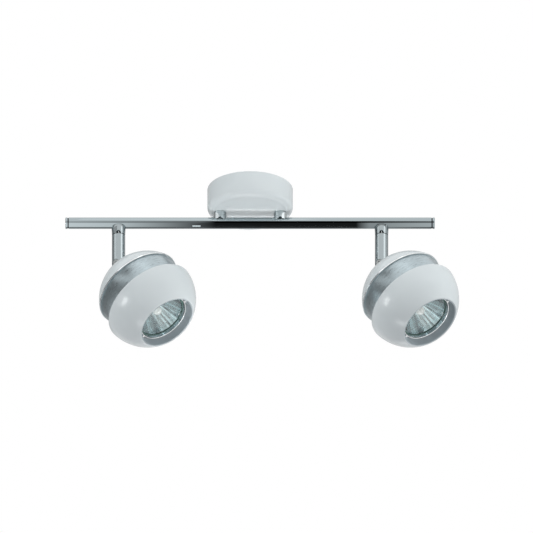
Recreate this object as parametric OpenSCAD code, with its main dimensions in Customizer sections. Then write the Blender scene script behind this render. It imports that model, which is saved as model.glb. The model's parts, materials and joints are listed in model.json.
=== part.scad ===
// Spotlight bar for a ceiling: a round canopy, a chrome bar on two posts, and two ball heads that
// swivel and tilt. The origin is the centre of the canopy's ceiling face, +Z points into the ceiling,
// and the bar runs along X.

/* [Canopy] */
// Outer diameter of the canopy
canopy_d = 85.5; // [84:0.5:120]
// Height of the canopy
canopy_h = 25.7; // [25:0.1:45]
// Radius of the canopy's rounded lower edge
canopy_fillet = 6.5; // [2:0.1:7]
// Sheet thickness of the canopy
canopy_wall = 1.2; // [0.8:0.1:1.8]

/* [Mounting bracket] */
// Width of the bracket's strap
strap_w = 20; // [16:0.5:26]
// Sheet thickness of the bracket
strap_t = 1.5; // [1:0.1:2]
// Width of the bracket's ears
ear_w = 14; // [10:0.5:18]
// Length of the bracket's ears
ear_l = 12; // [11:0.5:14]
// Distance between the two ceiling slots
slot_spacing = 54; // [53:0.5:58]
// Width of a ceiling slot
slot_w = 5; // [4:0.1:6]
// Length of a ceiling slot, end to end
slot_l = 11; // [8:0.5:12]
// Diameter of the cable hole
cable_hole_d = 9; // [6:0.5:9]
// Diameter of the canopy's two side screws
side_screw_d = 4; // [3:0.1:5]
// Drop of the side screws below the ceiling
side_screw_drop = 7; // [6:0.1:8]

/* [Terminals] */
// Distance between neighbouring poles
pole_pitch = 8; // [7.5:0.1:8.5]
// Length of the terminal block along a pole
block_l = 15; // [13:0.5:16]
// Height of the terminal block
block_h = 12; // [10:0.5:14]
// Diameter of the earth screw's cup washer
cup_washer_d = 8; // [7:0.1:8.5]

/* [Posts] */
// Distance from the edge of the canopy's flat underside to a post's axis
post_inset = 6.1; // [6:0.1:12]
// Diameter of a post
post_d = 13; // [12.5:0.1:15]
// Free height between the canopy and the top of the bar
post_gap = 5.6; // [3:0.1:15]
// Overlap of a post's saddle over the top of the bar
post_lap = 3; // [1.5:0.1:4]
// Radius of the half-round notch at a post's foot
post_notch_r = 1.7; // [1:0.1:2.2]

/* [Bar] */
// Length of the bar over its end caps
bar_l = 369.5; // [340:0.5:500]
// Outer diameter of the bar
bar_d = 11.5; // [11:0.1:12.4]
// Wall thickness of the bar
bar_wall = 1; // [0.8:0.1:1.2]
// Thickness of an end cap's head
cap_head = 2.1; // [1.2:0.1:4]
// Width of the seam groove beside an end cap's head
cap_seam = 1.3; // [0.5:0.1:2]
// Depth of the seam groove
cap_seam_depth = 0.45; // [0.2:0.05:0.8]
// Length of an end cap's plug inside the bar
cap_plug = 9; // [5:0.5:15]

/* [Stems] */
// Distance from an end of the bar to the axis of the nearer stem
stem_inset = 53.25; // [40:0.25:65]
// Outer diameter of a stem
stem_d = 13.3; // [12.8:0.1:15]
// Length of a stem, from its seam to the tilt axis
stem_l = 32.2; // [26:0.1:80]
// Height of a collar
collar_l = 9.3; // [7:0.1:14]
// Lap of a collar's saddle over the lower side of the bar
collar_lap = 1.35; // [1:0.05:2]
// Widening of a collar towards the bar, on the radius
collar_flare = 0.45; // [0:0.05:1]
// Radius of the half-round notch in a collar
collar_notch_r = 2.2; // [1.5:0.1:2.4]
// Thickness of a stem's top web, which turns on the swivel nipple
stem_web = 4; // [3:0.1:6]
// Clearance round the nut in a stem's chamber, at its corners
chamber_gap = 0.33; // [0.2:0.01:0.5]
// Diameter of the peg that limits the swivel
peg_d = 1.5; // [1:0.1:1.6]
// Clearance on each side of the peg in the collar's groove
peg_gap = 0.25; // [0.15:0.01:0.3]

/* [Nipples] */
// Outer diameter of a hollow nipple
nipple_d = 6; // [5:0.1:6.2]
// Bore of a hollow nipple
nipple_bore = 4.2; // [3:0.1:4.4]
// Width across the flats of a nipple's nut
nut_w = 8.6; // [8:0.1:8.8]
// Height of a nipple's nut
nut_h = 3; // [2:0.1:4]

/* [Knuckle] */
// Thickness of the tilt tongue
tongue_t = 3.4; // [2.4:0.1:4]
// Width of the tongue's shank
tongue_w = 8; // [6:0.1:9]
// Diameter of the tongue's eye
eye_d = 10.8; // [10:0.1:11]
// Diameter of the pivot screw
pivot_d = 4; // [3:0.1:4.4]
// Diameter of the pivot screw's head
pivot_head_d = 6.4; // [5.6:0.1:7]
// Height of the pivot screw's head
pivot_head_h = 1.9; // [1.2:0.1:2]
// Clear distance between the ball and the stem's round end
knuckle_gap = 0.5; // [0.4:0.05:2]

/* [Ball head] */
// Depth of the hub behind the strap bracket; with what the ball holds, it sets the ball's size
hub_depth = 8.21; // [8:0.01:20]
// Sheet thickness of the two shells
shell_wall = 1.2; // [0.8:0.1:1.5]
// Depth of the drum's surface below the ball's
drum_step = 4.8; // [4:0.1:6]
// Sheet thickness of the drum
drum_wall = 1.2; // [0.8:0.1:1.6]
// Width of the drum's end flanges
drum_flange = 8; // [7:0.1:10]
// Lap of the rear dome over the drum
dome_lap = 0.6; // [0.5:0.1:5]
// Lap of the front shell over the drum
shell_lap = 13.5; // [8:0.1:16]
// Depth of the lamp's face behind the ball's mouth
lamp_recess = 9.7; // [7:0.1:11]
// Space between the lamp's rim and the sleeve
lamp_gap = 1.85; // [1.5:0.05:2.5]
// Widening of the sleeve from the lamp to the mouth, on the radius
sleeve_flare = 1.85; // [1:0.05:2.5]
// Sheet thickness of the sleeve
sleeve_wall = 0.8; // [0.5:0.1:1]
// Diameter of the retaining ring's wire bead
bead_d = 1.1; // [0.8:0.05:1.3]

/* [Lamp] */
// Diameter of the lamp's face
lamp_d = 50.7; // [49:0.1:51]
// Length of the lamp from its face to the end of its base
lamp_l = 50; // [48:0.1:51]
// Thickness of the lamp's cover glass
glass_t = 1.8; // [1:0.1:2.5]
// Wall thickness of the reflector
reflector_wall = 1.5; // [1:0.1:2]
// Length of the lamp's ceramic base
lamp_base_l = 18.5; // [17:0.1:20]
// Diameter of the reflector's neck
neck_d = 22; // [20:0.1:23]
// Distance between the lamp's two pins
pin_pitch = 10; // [9.6:0.1:10.4]
// Number of facet columns round the reflector
facet_columns = 48; // [32:4:56]
// Number of facet rows up the reflector
facet_rows = 9; // [5:1:10]

/* [Lamp holder] */
// Diameter of the lamp holder
holder_d = 25; // [24.5:0.1:26]
// Height of the lamp holder
holder_h = 15; // [13:0.1:16]
// Sheet thickness of the head's strap bracket
carrier_t = 1.5; // [1:0.1:1.8]
// Width of the head's strap bracket
carrier_w = 16; // [14:0.1:17]
// Clearance between the lamp holder and the heads of the hub's screws
hub_screw_gap = 0.54; // [0.3:0.01:2]
// Rim of the hub outside the heads of its screws
hub_edge = 0.74; // [0.5:0.01:2]
// Diameter of the small inner screws
small_screw_d = 3; // [2.5:0.1:3.2]

/* [Aim] */
// Turn of both heads about their stems, towards the viewer
swivel = 25.6; // [0:0.1:90]
// Tilt of both heads from straight down
tilt = 35.2; // [0:0.1:80]

/* [Fits] */
// Radial clearance between parts that are fitted together
fit_gap = 0.05; // [0.02:0.01:0.1]
// Clearance between parts that turn past each other
turn_gap = 0.3; // [0.2:0.05:0.5]
// Clearance on each side of the tongue
tongue_gap = 0.15; // [0.1:0.01:0.3]

/* [Hidden] */
$fn = 96;

left = -1;
right = 1;
past = 1;

// Colours
white_paint = [0.85, 0.87, 0.88];
chrome = [0.72, 0.76, 0.79];
brushed = [0.60, 0.64, 0.67];
sleeve_grey = [0.50, 0.53, 0.55];
zinc = [0.66, 0.67, 0.66];
dark_steel = [0.25, 0.26, 0.27];
brass = [0.80, 0.66, 0.36];
ceramic = [0.91, 0.89, 0.84];
block_white = [0.93, 0.93, 0.91];
mirror_glass = [0.80, 0.84, 0.86];
clear_glass = [0.80, 0.90, 0.88, 0.4];

// Canopy
canopy_r = canopy_d / 2;
canopy_ir = canopy_r - canopy_wall;
canopy_floor = canopy_h - canopy_wall;

// Mounting bracket
bracket_r = canopy_ir - 3 * fit_gap;
ear_x = sqrt(pow(bracket_r, 2) - pow(ear_w / 2, 2)) - fit_gap;
slot_clear = 0.5;
block_x = -slot_spacing / 2 + slot_l / 2 + slot_clear + block_l / 2;
cable_hole_x = 5.5;
earth_x = slot_spacing / 2 - slot_l / 2 - slot_clear - cup_washer_d / 2;
screw_r = side_screw_d / 2;
poles = 3;
block_w = poles * pole_pitch;
block_foot = 0.55 * block_h;
terminal_screw_r = 0.25 * pole_pitch;

// Bar, posts and nipples
post_x = canopy_r - canopy_fillet - post_inset;
bar_r = bar_d / 2;
bar_ir = bar_r - bar_wall;
bar_z = -(canopy_h + post_gap + bar_r);
post_foot_z = bar_z + bar_r - post_lap;
nipple_r = nipple_d / 2;
nipple_past_wall = 1;
washer_t = 1;
post_nipple_top = -canopy_floor + washer_t + nut_h + 1;
post_nipple_foot = bar_z + bar_ir - nipple_past_wall;

// Collars and stems
stem_x = bar_l / 2 - stem_inset;
stem_r = stem_d / 2;
collar_top_z = bar_z - bar_r + collar_lap;
seam_z = collar_top_z - collar_l;
pivot_z = seam_z - stem_l;
collar_foot_r = stem_r - fit_gap;
collar_top_r = collar_foot_r + collar_flare;
stem_top = stem_l - turn_gap;
chamber_r = nut_w / (2 * cos(30)) + chamber_gap;
chamber_top = stem_top - stem_web;
swivel_nut_top = chamber_top - turn_gap;
swivel_nipple_foot = swivel_nut_top - nut_h - 0.6;
peg_r = peg_d / 2;
groove_r = (nipple_r + fit_gap + collar_foot_r) / 2;
groove_ir = groove_r - peg_r - peg_gap;
groove_or = groove_r + peg_r + peg_gap;
groove_depth = 3.2;
peg_reach = groove_depth - 1 + turn_gap;
peg_root = 2.5;

// Knuckle, in a stem's frame with the tilt axis at the origin
eye_r = eye_d / 2;
slot_half = tongue_t / 2 + tongue_gap;
slot_back = eye_r + turn_gap;
slot_rise = tongue_w / 2 + turn_gap;
pivot_r = pivot_d / 2;
pivot_head_r = pivot_head_d / 2;
pivot_face = sqrt(pow(stem_r, 2) - pow(pivot_head_r, 2));
pivot_end = sqrt(pow(stem_r, 2) - pow(pivot_r, 2)) - 0.15;
socket_w = 2.5;
socket_depth = 1.1;

// Ball head, in a frame with the ball's centre at the origin and its mouth towards +Z. The shell's
// middle radius comes from its chord, the rim of the mouth, and the depth from there to the dome.
lamp_r = lamp_d / 2;
throat_r = lamp_r + lamp_gap;
lip_ir = throat_r + sleeve_flare;
mouth_r = lip_ir + sleeve_wall + fit_gap;
mouth_rim_r = mouth_r + shell_wall / 2;
ball_depth = lamp_recess + lamp_l + fit_gap + holder_h + carrier_t + hub_depth + shell_wall / 2;
shell_mr = (pow(ball_depth, 2) + pow(mouth_rim_r, 2)) / (2 * ball_depth);
ball_r = shell_mr + shell_wall / 2;
shell_ir = shell_mr - shell_wall / 2;
mouth_rim_z = ball_depth - shell_mr;
pivot_reach = ball_r + stem_r + knuckle_gap;
drum_r = ball_r - drum_step;
drum_seat = sqrt(pow(shell_ir, 2) - pow(drum_r, 2));
drum_end = drum_seat - fit_gap;
dome_rim_z = dome_lap - drum_seat;
shell_rim_z = drum_seat - shell_lap;
lip_z = mouth_rim_z + 0.25 * shell_wall;
lip_l = 2;
flange_z = drum_seat;
flange_r = sqrt(pow(shell_ir, 2) - pow(flange_z + sleeve_wall, 2)) - 1.5;
fixing_r = drum_r - drum_wall - 0.45 * drum_flange;

// Lamp and what carries it, in the ball's frame
face_z = mouth_rim_z - lamp_recess;
base_end_z = face_z - lamp_l;
holder_face_z = base_end_z - fit_gap;
holder_back_z = holder_face_z - holder_h;
carrier_back_z = holder_back_z - carrier_t;
carrier_foot_z = -drum_seat - carrier_t;
tongue_foot_z = carrier_back_z - 2;
holder_r = holder_d / 2;
small_r = small_screw_d / 2;
small_head_r = 0.87 * small_screw_d;
small_head_h = 0.65 * small_screw_d;
hub_screw_x = holder_r + hub_screw_gap + small_head_r;
hub_r = hub_screw_x + small_head_r + hub_edge;
carrier_leg_x = hub_r + 2;
carrier_foot_x = fixing_r + small_head_r;
holder_screw_y = 0.72 * holder_r;
hub_thickness = sqrt(pow(shell_ir - fit_gap, 2) - pow(hub_screw_x + small_r, 2)) + carrier_back_z;
hub_hole_l = 0.7 * hub_thickness;
hub_thread_l = 0.6 * hub_thickness;
holder_head_sink = small_head_h + 0.4;
pin_twist = 25;
pin_head_r = 2.5;
pin_neck_r = 1.5;
pin_neck_l = 4;
pin_head_l = 3.3;

// Lamp, in a frame with the centre of its face at the origin
reflector_front = -glass_t - fit_gap;
reflector_back = -(lamp_l - lamp_base_l) + fit_gap;
reflector_rim_r = lamp_r - 0.25;
neck_r = neck_d / 2;
neck_l = 3.5;
throat_hole_r = 5.2;
bowl_r = reflector_rim_r - reflector_wall;
rim_back = reflector_front - 2;
bowl_back = reflector_back + neck_l + reflector_wall;
burner_r = 4.4;
burner_gap = 3.6;
burner_l = reflector_front - reflector_back - burner_gap;
lug_r = throat_r + 0.6;
lug_w = 1.4;
lug_h = 0.9;
ring_z = 2.8;
ring_turn = 4.4;

// Flat shapes

// Half-plane to the right of the revolve axis.
module right_half(reach) {
    translate([0, -reach]) square([reach, 2 * reach]);
}

// Solid half-profile of a cup that hangs from z = 0, with a rounded lower edge.
module cup_profile(r, h, f) {
    intersection() {
        right_half(2 * r);
        union() {
            translate([0, -h + f]) square([r, h - f]);
            translate([0, -h]) square([r - f, f]);
            translate([r - f, -h + f]) circle(f);
        }
    }
}

// Half-profile of a spherical shell between two angles from its equator, with round rims.
module zone_profile(outer_r, wall, low, high, low_rim, high_rim) {
    mid = outer_r - wall / 2;
    far = 2 * outer_r;
    difference() {
        intersection() {
            circle(outer_r);
            polygon([[0, 0], [far * cos(low), far * sin(low)], [far * cos(high), far * sin(high)]]);
        }
        circle(outer_r - wall);
    }
    if (low_rim) {
        translate([mid * cos(low), mid * sin(low)]) circle(wall / 2);
    }
    if (high_rim) {
        translate([mid * cos(high), mid * sin(high)]) circle(wall / 2);
    }
}

// Common solids

// Two copies, at -x and +x.
module pair(x) {
    for (side = [left, right]) {
        translate([side * x, 0, 0]) children();
    }
}

// A straight tube along Z from z = low to z = high.
module tube(outer_r, inner_r, low, high) {
    translate([0, 0, low]) difference() {
        cylinder(r = outer_r, h = high - low);
        translate([0, 0, -past]) cylinder(r = inner_r, h = high - low + 2 * past);
    }
}

// A slot with round ends along X, cut through a sheet round z = 0.
module slot_cut(length, width) {
    reach = (length - width) / 2;
    pair(reach) cylinder(d = width, h = 4 * past, center = true);
    cube([2 * reach, width, 4 * past], center = true);
}

// A pan-head screw along -Z, with its head's seat at z = 0 and a straight driver slot.
module pan_screw(r, length) {
    head_r = 1.74 * r;
    head_h = 1.3 * r;
    difference() {
        union() {
            translate([0, 0, -length]) cylinder(r = r, h = length + head_h / 2);
            rotate_extrude() intersection() {
                union() {
                    square([head_r, head_h / 2]);
                    square([head_r - head_h / 2, head_h]);
                    translate([head_r - head_h / 2, head_h / 2]) circle(head_h / 2);
                }
                square([head_r, head_h]);
            }
        }
        translate([0, 0, head_h]) cube([2.2 * head_r, 0.3 * head_r, head_h], center = true);
    }
}

// A hexagon nut on the XY plane, with a round bore.
module hex_nut(flats, bore_r, height) {
    difference() {
        cylinder(d = flats / cos(30), h = height, $fn = 6);
        translate([0, 0, -past]) cylinder(r = bore_r, h = height + 2 * past);
    }
}

// Places

// A stem's frame: the tilt axis is Y at the origin, and the stem stands on +Z.
module on_stem(side) {
    translate([side * stem_x, 0, pivot_z]) rotate([0, 0, -swivel]) children();
}

// A ball's frame: the ball's centre is the origin, and its mouth faces +Z.
module on_head(side) {
    on_stem(side) rotate([0, -tilt, 0]) translate([0, 0, -pivot_reach]) rotate([180, 0, 0]) children();
}

// Canopy and what it covers

module canopy() {
    color(white_paint) difference() {
        rotate_extrude() difference() {
            cup_profile(canopy_r, canopy_h, canopy_fillet);
            translate([0, past]) cup_profile(canopy_ir, canopy_floor + past, canopy_fillet - canopy_wall);
        }
        translate([0, 0, -canopy_h - past]) pair(post_x) {
            cylinder(r = nipple_r + 3 * fit_gap, h = canopy_wall + 2 * past);
        }
        translate([0, 0, -side_screw_drop]) rotate([0, 90, 0]) {
            cylinder(r = screw_r + fit_gap, h = 2 * canopy_d, center = true);
        }
    }
}

module mounting_bracket() {
    color(zinc) difference() {
        intersection() {
            translate([0, 0, -canopy_h]) cylinder(r = bracket_r, h = canopy_h);
            union() {
                translate([-canopy_r, -strap_w / 2, -strap_t]) cube([canopy_d, strap_w, strap_t]);
                for (side = [left, right]) {
                    translate([side * (ear_x - strap_t / 2), 0, -ear_l / 2]) {
                        cube([strap_t, ear_w, ear_l], center = true);
                    }
                }
            }
        }
        pair(slot_spacing / 2) slot_cut(slot_l, slot_w);
        translate([cable_hole_x, 0, 0]) cylinder(d = cable_hole_d, h = 4 * past, center = true);
        translate([earth_x, 0, 0]) cylinder(r = screw_r, h = 4 * past, center = true);
        translate([0, 0, -side_screw_drop]) rotate([0, 90, 0]) {
            cylinder(r = screw_r + fit_gap, h = 2 * canopy_d, center = true);
        }
    }
}

module canopy_screws() {
    screw_out = sqrt(pow(canopy_r, 2) - pow(screw_r, 2));
    screw_in = ear_x - strap_t - 2;
    color(chrome) for (side = [left, right]) {
        translate([0, 0, -side_screw_drop]) rotate([0, side * 90, 0]) difference() {
            translate([0, 0, screw_in]) cylinder(r = screw_r, h = screw_out - screw_in);
            translate([0, 0, screw_out]) cube([2 * side_screw_d, 0.7, 1.4], center = true);
        }
    }
}

module terminal_places() {
    for (pole = [0 : poles - 1]) {
        for (side = [left, right]) {
            translate([side * 0.27 * block_l, (pole - (poles - 1) / 2) * pole_pitch, 0]) children();
        }
    }
}

module terminal_block() {
    color(block_white) translate([block_x, 0, -strap_t]) rotate([180, 0, 0]) difference() {
        union() {
            translate([-block_l / 2, -block_w / 2, 0]) cube([block_l, block_w, block_foot]);
            terminal_places() cylinder(d = 0.82 * pole_pitch, h = block_h);
        }
        terminal_places() translate([0, 0, 0.5 * block_foot]) {
            cylinder(r = terminal_screw_r + fit_gap, h = block_h);
        }
        for (pole = [0 : poles - 1]) {
            translate([0, (pole - (poles - 1) / 2) * pole_pitch, 0.5 * block_foot]) rotate([0, 90, 0]) {
                cylinder(d = 0.4 * pole_pitch, h = block_l + 2 * past, center = true);
            }
        }
    }
}

module terminal_screws() {
    screw_top = block_h - 1.5;
    screw_foot = 0.75 * block_foot;
    color(brass) translate([block_x, 0, -strap_t]) rotate([180, 0, 0]) terminal_places() {
        difference() {
            translate([0, 0, screw_foot]) cylinder(r = terminal_screw_r, h = screw_top - screw_foot);
            translate([0, 0, screw_top]) cube([pole_pitch, 0.7, 1.6], center = true);
        }
    }
}

module earth_screw() {
    washer_h = 1;
    color(brass) translate([earth_x, 0, -strap_t]) rotate([180, 0, 0]) {
        cylinder(d = cup_washer_d, h = washer_h);
        translate([0, 0, washer_h]) pan_screw(screw_r - fit_gap, washer_h + strap_t - 0.2);
    }
}

module post_nuts() {
    color(zinc) pair(post_x) translate([0, 0, -canopy_floor + washer_t]) {
        hex_nut(nut_w, nipple_r + fit_gap, nut_h);
    }
}

module post_washers() {
    color(zinc) pair(post_x) {
        tube(nut_w / 2 + 1.2, nipple_r + fit_gap, -canopy_floor, -canopy_floor + washer_t);
    }
}

// Posts and bar

module post() {
    color(chrome) difference() {
        translate([0, 0, post_foot_z]) cylinder(d = post_d, h = -canopy_h - post_foot_z);
        translate([0, 0, bar_z]) rotate([0, 90, 0]) {
            cylinder(r = bar_r + fit_gap, h = 2 * post_d, center = true);
        }
        translate([0, 0, 2 * bar_z]) cylinder(r = nipple_r + fit_gap, h = -2 * bar_z);
        translate([0, 0, post_foot_z]) rotate([90, 0, 0]) cylinder(r = post_notch_r, h = post_d);
    }
}

module post_nipples() {
    color(zinc) pair(post_x) {
        tube(nipple_r, nipple_bore / 2, post_nipple_foot, post_nipple_top);
    }
}

module bar_tube() {
    length = bar_l - 2 * (cap_head + cap_seam);
    hole_r = nipple_r + fit_gap;
    color(chrome) difference() {
        translate([0, 0, bar_z]) rotate([0, 90, 0]) tube(bar_r, bar_ir, -length / 2, length / 2);
        translate([0, 0, bar_z]) pair(post_x) cylinder(r = hole_r, h = bar_d);
        translate([0, 0, bar_z - bar_d]) pair(stem_x) cylinder(r = hole_r, h = bar_d);
    }
}

// Turned cap: a plug in the tube, a seam groove and a head with a rounded edge.
module end_cap(side) {
    edge = 0.35 * cap_head;
    color(chrome) translate([0, 0, bar_z]) rotate([0, side * 90, 0]) {
        translate([0, 0, bar_l / 2 - cap_head - cap_seam]) rotate_extrude() intersection() {
            right_half(2 * bar_l);
            union() {
                translate([0, -cap_plug]) square([bar_ir - fit_gap, cap_plug]);
                square([bar_r - cap_seam_depth, cap_seam]);
                translate([0, cap_seam]) square([bar_r, cap_head - edge]);
                translate([0, cap_seam + cap_head - edge]) square([bar_r - edge, edge]);
                translate([bar_r - edge, cap_seam + cap_head - edge]) circle(edge);
            }
        }
    }
}

// Collars, stems and knuckles

// Fixed collar: saddle on the bar, a groove for the stem's peg, and the rib that stops the peg.
module stem_collar() {
    color(chrome) difference() {
        translate([0, 0, seam_z]) cylinder(r1 = collar_foot_r, r2 = collar_top_r, h = collar_l);
        translate([0, 0, bar_z]) rotate([0, 90, 0]) {
            cylinder(r = bar_r + fit_gap, h = 4 * collar_top_r, center = true);
        }
        translate([0, 0, seam_z - past]) cylinder(r = nipple_r + fit_gap, h = collar_l + 2 * past);
        translate([0, 0, seam_z - past]) difference() {
            tube(groove_or, groove_ir, 0, groove_depth + past);
            translate([-peg_r, 0, -past]) cube([peg_d, stem_d, groove_depth + 3 * past]);
        }
        translate([0, -groove_r, seam_z + 0.3 * collar_notch_r]) rotate([90, 0, 0]) {
            cylinder(r = collar_notch_r, h = stem_d);
        }
    }
}

module swivel_nipples() {
    color(zinc) pair(stem_x) {
        tube(nipple_r, nipple_bore / 2, pivot_z + swivel_nipple_foot, bar_z - bar_ir + nipple_past_wall);
    }
}

module swivel_nuts() {
    color(zinc) pair(stem_x) translate([0, 0, pivot_z + swivel_nut_top - nut_h]) {
        hex_nut(nut_w, nipple_r + fit_gap, nut_h);
    }
}

// Slot for the tongue, closed behind so that the head can't tilt past straight down.
module tongue_slot() {
    rotate([90, 0, 0]) cylinder(r = slot_back, h = 2 * slot_half, center = true);
    translate([-slot_back, -slot_half, -2 * stem_r]) {
        cube([slot_back + 2 * stem_r, 2 * slot_half, 2 * stem_r]);
    }
    translate([0, -slot_half, -past]) cube([2 * stem_r, 2 * slot_half, slot_rise + past]);
}

// Turned stem with a round, slotted end, a nut chamber, and a web that turns on the nipple.
module stem() {
    edge = 0.4;
    color(chrome) difference() {
        union() {
            sphere(stem_r);
            cylinder(r = stem_r, h = stem_top - edge);
            translate([0, 0, stem_top - edge]) cylinder(r1 = stem_r, r2 = stem_r - edge, h = edge);
        }
        translate([0, 0, slot_back + 2]) cylinder(r = chamber_r, h = chamber_top - slot_back - 2);
        cylinder(r = nipple_r + fit_gap, h = stem_l + past);
        tongue_slot();
        rotate([90, 0, 0]) cylinder(r = pivot_r + fit_gap, h = 2 * stem_d, center = true);
        translate([0, -pivot_face + pivot_head_h + fit_gap, 0]) rotate([90, 0, 0]) {
            cylinder(r = pivot_head_r + fit_gap, h = stem_d);
        }
        peg_place() translate([0, 0, -peg_root - fit_gap]) cylinder(r = peg_r + fit_gap, h = peg_root + past);
    }
}

// The peg stands opposite the collar's stop rib, at the middle of the swivel's travel.
module peg_place() {
    rotate([0, 0, swivel - 90]) translate([groove_r, 0, stem_top]) children();
}

module stop_peg() {
    color(dark_steel) peg_place() translate([0, 0, -peg_root]) cylinder(r = peg_r, h = peg_root + peg_reach);
}

module pivot_screw() {
    color(chrome) rotate([90, 0, 0]) difference() {
        union() {
            translate([0, 0, -pivot_end]) cylinder(r = pivot_r, h = pivot_end + pivot_face);
            translate([0, 0, pivot_face - pivot_head_h]) cylinder(r = pivot_head_r, h = pivot_head_h);
        }
        translate([0, 0, pivot_face - socket_depth]) {
            cylinder(d = socket_w / cos(30), h = socket_depth + past, $fn = 6);
        }
    }
}

// Ball head

// Tongue with a round eye; its foot stands in the hub.
module tilt_tongue() {
    color(chrome) difference() {
        union() {
            translate([-tongue_w / 2, -tongue_t / 2, -pivot_reach]) {
                cube([tongue_w, tongue_t, pivot_reach + tongue_foot_z]);
            }
            translate([0, 0, -pivot_reach]) rotate([90, 0, 0]) {
                cylinder(r = eye_r, h = tongue_t, center = true);
            }
        }
        translate([0, 0, -pivot_reach]) rotate([90, 0, 0]) {
            cylinder(r = pivot_r + fit_gap, h = 2 * tongue_t, center = true);
        }
    }
}

// Hub that fills the crown of the rear dome and clamps it to the strap bracket.
module dome_hub() {
    pocket_w = tongue_w + 2 * fit_gap;
    pocket_t = tongue_t + 2 * fit_gap;
    color(zinc) difference() {
        intersection() {
            translate([0, 0, -ball_r]) cylinder(r = hub_r, h = carrier_back_z + ball_r);
            sphere(shell_ir - fit_gap);
        }
        translate([-pocket_w / 2, -pocket_t / 2, -ball_r]) {
            cube([pocket_w, pocket_t, ball_r + tongue_foot_z + fit_gap]);
        }
        translate([0, 0, carrier_back_z - hub_hole_l]) {
            pair(hub_screw_x) cylinder(r = small_r + fit_gap, h = hub_hole_l + past);
            rotate([0, 0, 90]) pair(holder_screw_y) cylinder(r = small_r + fit_gap, h = hub_hole_l + past);
        }
    }
}

module rear_dome() {
    color(white_paint) difference() {
        rotate_extrude() {
            zone_profile(ball_r, shell_wall, -90, asin(dome_rim_z / shell_mr), false, true);
        }
        translate([0, 0, -ball_r]) {
            cube([tongue_w + 4 * fit_gap, tongue_t + 4 * fit_gap, 4 * shell_wall], center = true);
        }
    }
}

module drum() {
    inner_r = drum_r - drum_wall;
    eye = drum_r - drum_wall - drum_flange;
    color(brushed) difference() {
        rotate_extrude() polygon([
            [drum_r, -drum_end], [drum_r, drum_end], [eye, drum_end], [eye, drum_end - drum_wall],
            [inner_r, drum_end - drum_wall], [inner_r, drum_wall - drum_end],
            [eye, drum_wall - drum_end], [eye, -drum_end]]);
        sleeve_screw_places() cylinder(r = small_r + fit_gap, h = 4 * drum_wall, center = true);
        pair(fixing_r) translate([0, 0, -drum_end]) {
            cylinder(r = small_r + fit_gap, h = 4 * drum_wall, center = true);
        }
    }
}

module front_shell() {
    low = asin(shell_rim_z / shell_mr);
    high = asin(mouth_rim_z / shell_mr);
    color(white_paint) rotate_extrude() zone_profile(ball_r, shell_wall, low, high, true, true);
}

// Smooth sleeve from the mouth to the drum's front flange.
module inner_sleeve() {
    taper_front = lip_z - lip_l;
    taper_back = face_z + ring_z + 1;
    throat_or = throat_r + sleeve_wall;
    flange_front = flange_z + sleeve_wall;
    color(sleeve_grey) difference() {
        rotate_extrude() polygon([
            [lip_ir, lip_z], [lip_ir, taper_front], [throat_r, taper_back], [throat_r, flange_z],
            [flange_r, flange_z], [flange_r, flange_front], [throat_or, flange_front],
            [throat_or, taper_back], [lip_ir + sleeve_wall, taper_front], [lip_ir + sleeve_wall, lip_z]]);
        sleeve_screw_places() cylinder(r = small_r + fit_gap, h = 4 * drum_wall, center = true);
        lug_places() cube([2 * sleeve_wall, lug_w + 4 * fit_gap, lug_h + 4 * fit_gap], center = true);
    }
}

module sleeve_screw_places() {
    for (turn = [90 : 120 : 330]) {
        rotate([0, 0, turn]) translate([fixing_r, 0, flange_z]) children();
    }
}

module sleeve_screws() {
    color(zinc) sleeve_screw_places() translate([0, 0, sleeve_wall]) pan_screw(small_r, 6);
}

// The two places where the ring's lugs stand in the sleeve's wall.
module lug_places() {
    for (side = [left, right]) {
        rotate([0, 0, -ring_turn]) translate([side * lug_r, 0, face_z + ring_z]) children();
    }
}

// Sprung ring: a wire bead, a sloping lip on the lamp's glass and two lugs.
module retaining_ring() {
    bead_r = bead_d / 2;
    centre_r = throat_r - 0.5 - bead_r;
    lip_r = lamp_r - 0.5;
    lip_t = 0.45;
    lug_l = lug_r + 0.3 - centre_r;
    color(chrome) {
        rotate_extrude() union() {
            translate([centre_r, face_z + ring_z]) circle(bead_r);
            polygon([
                [lip_r, face_z + fit_gap], [lip_r + lip_t, face_z + fit_gap],
                [centre_r + lip_t / 2, face_z + ring_z], [centre_r - lip_t / 2, face_z + ring_z]]);
        }
        for (side = [left, right]) {
            rotate([0, 0, -ring_turn]) translate([side * (centre_r + lug_l / 2), 0, face_z + ring_z]) {
                cube([lug_l, lug_w, lug_h], center = true);
            }
        }
    }
}

// Lamp

// Point of the bowl's inner parabola at a radius.
function bowl_point(r) = [r, bowl_back + (reflector_front - bowl_back) * pow(r / bowl_r, 2)];

// Point of the bowl's outer parabola at a radius.
function outer_point(r) = [r, reflector_back + neck_l + (rim_back - reflector_back - neck_l)
    * (pow(r, 2) - pow(neck_r, 2)) / (pow(reflector_rim_r, 2) - pow(neck_r, 2))];

// Points of one column of the bowl: up the facets inside, over the rim and down outside.
function bowl_column() = concat(
    [[throat_hole_r, reflector_back]],
    [for (row = [0 : facet_rows]) bowl_point(throat_hole_r + (bowl_r - throat_hole_r) * row / facet_rows)],
    [[reflector_rim_r, reflector_front]],
    [for (row = [facet_rows : -1 : 0]) outer_point(neck_r + (reflector_rim_r - neck_r) * row / facet_rows)],
    [[neck_r, reflector_back]]);

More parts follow.
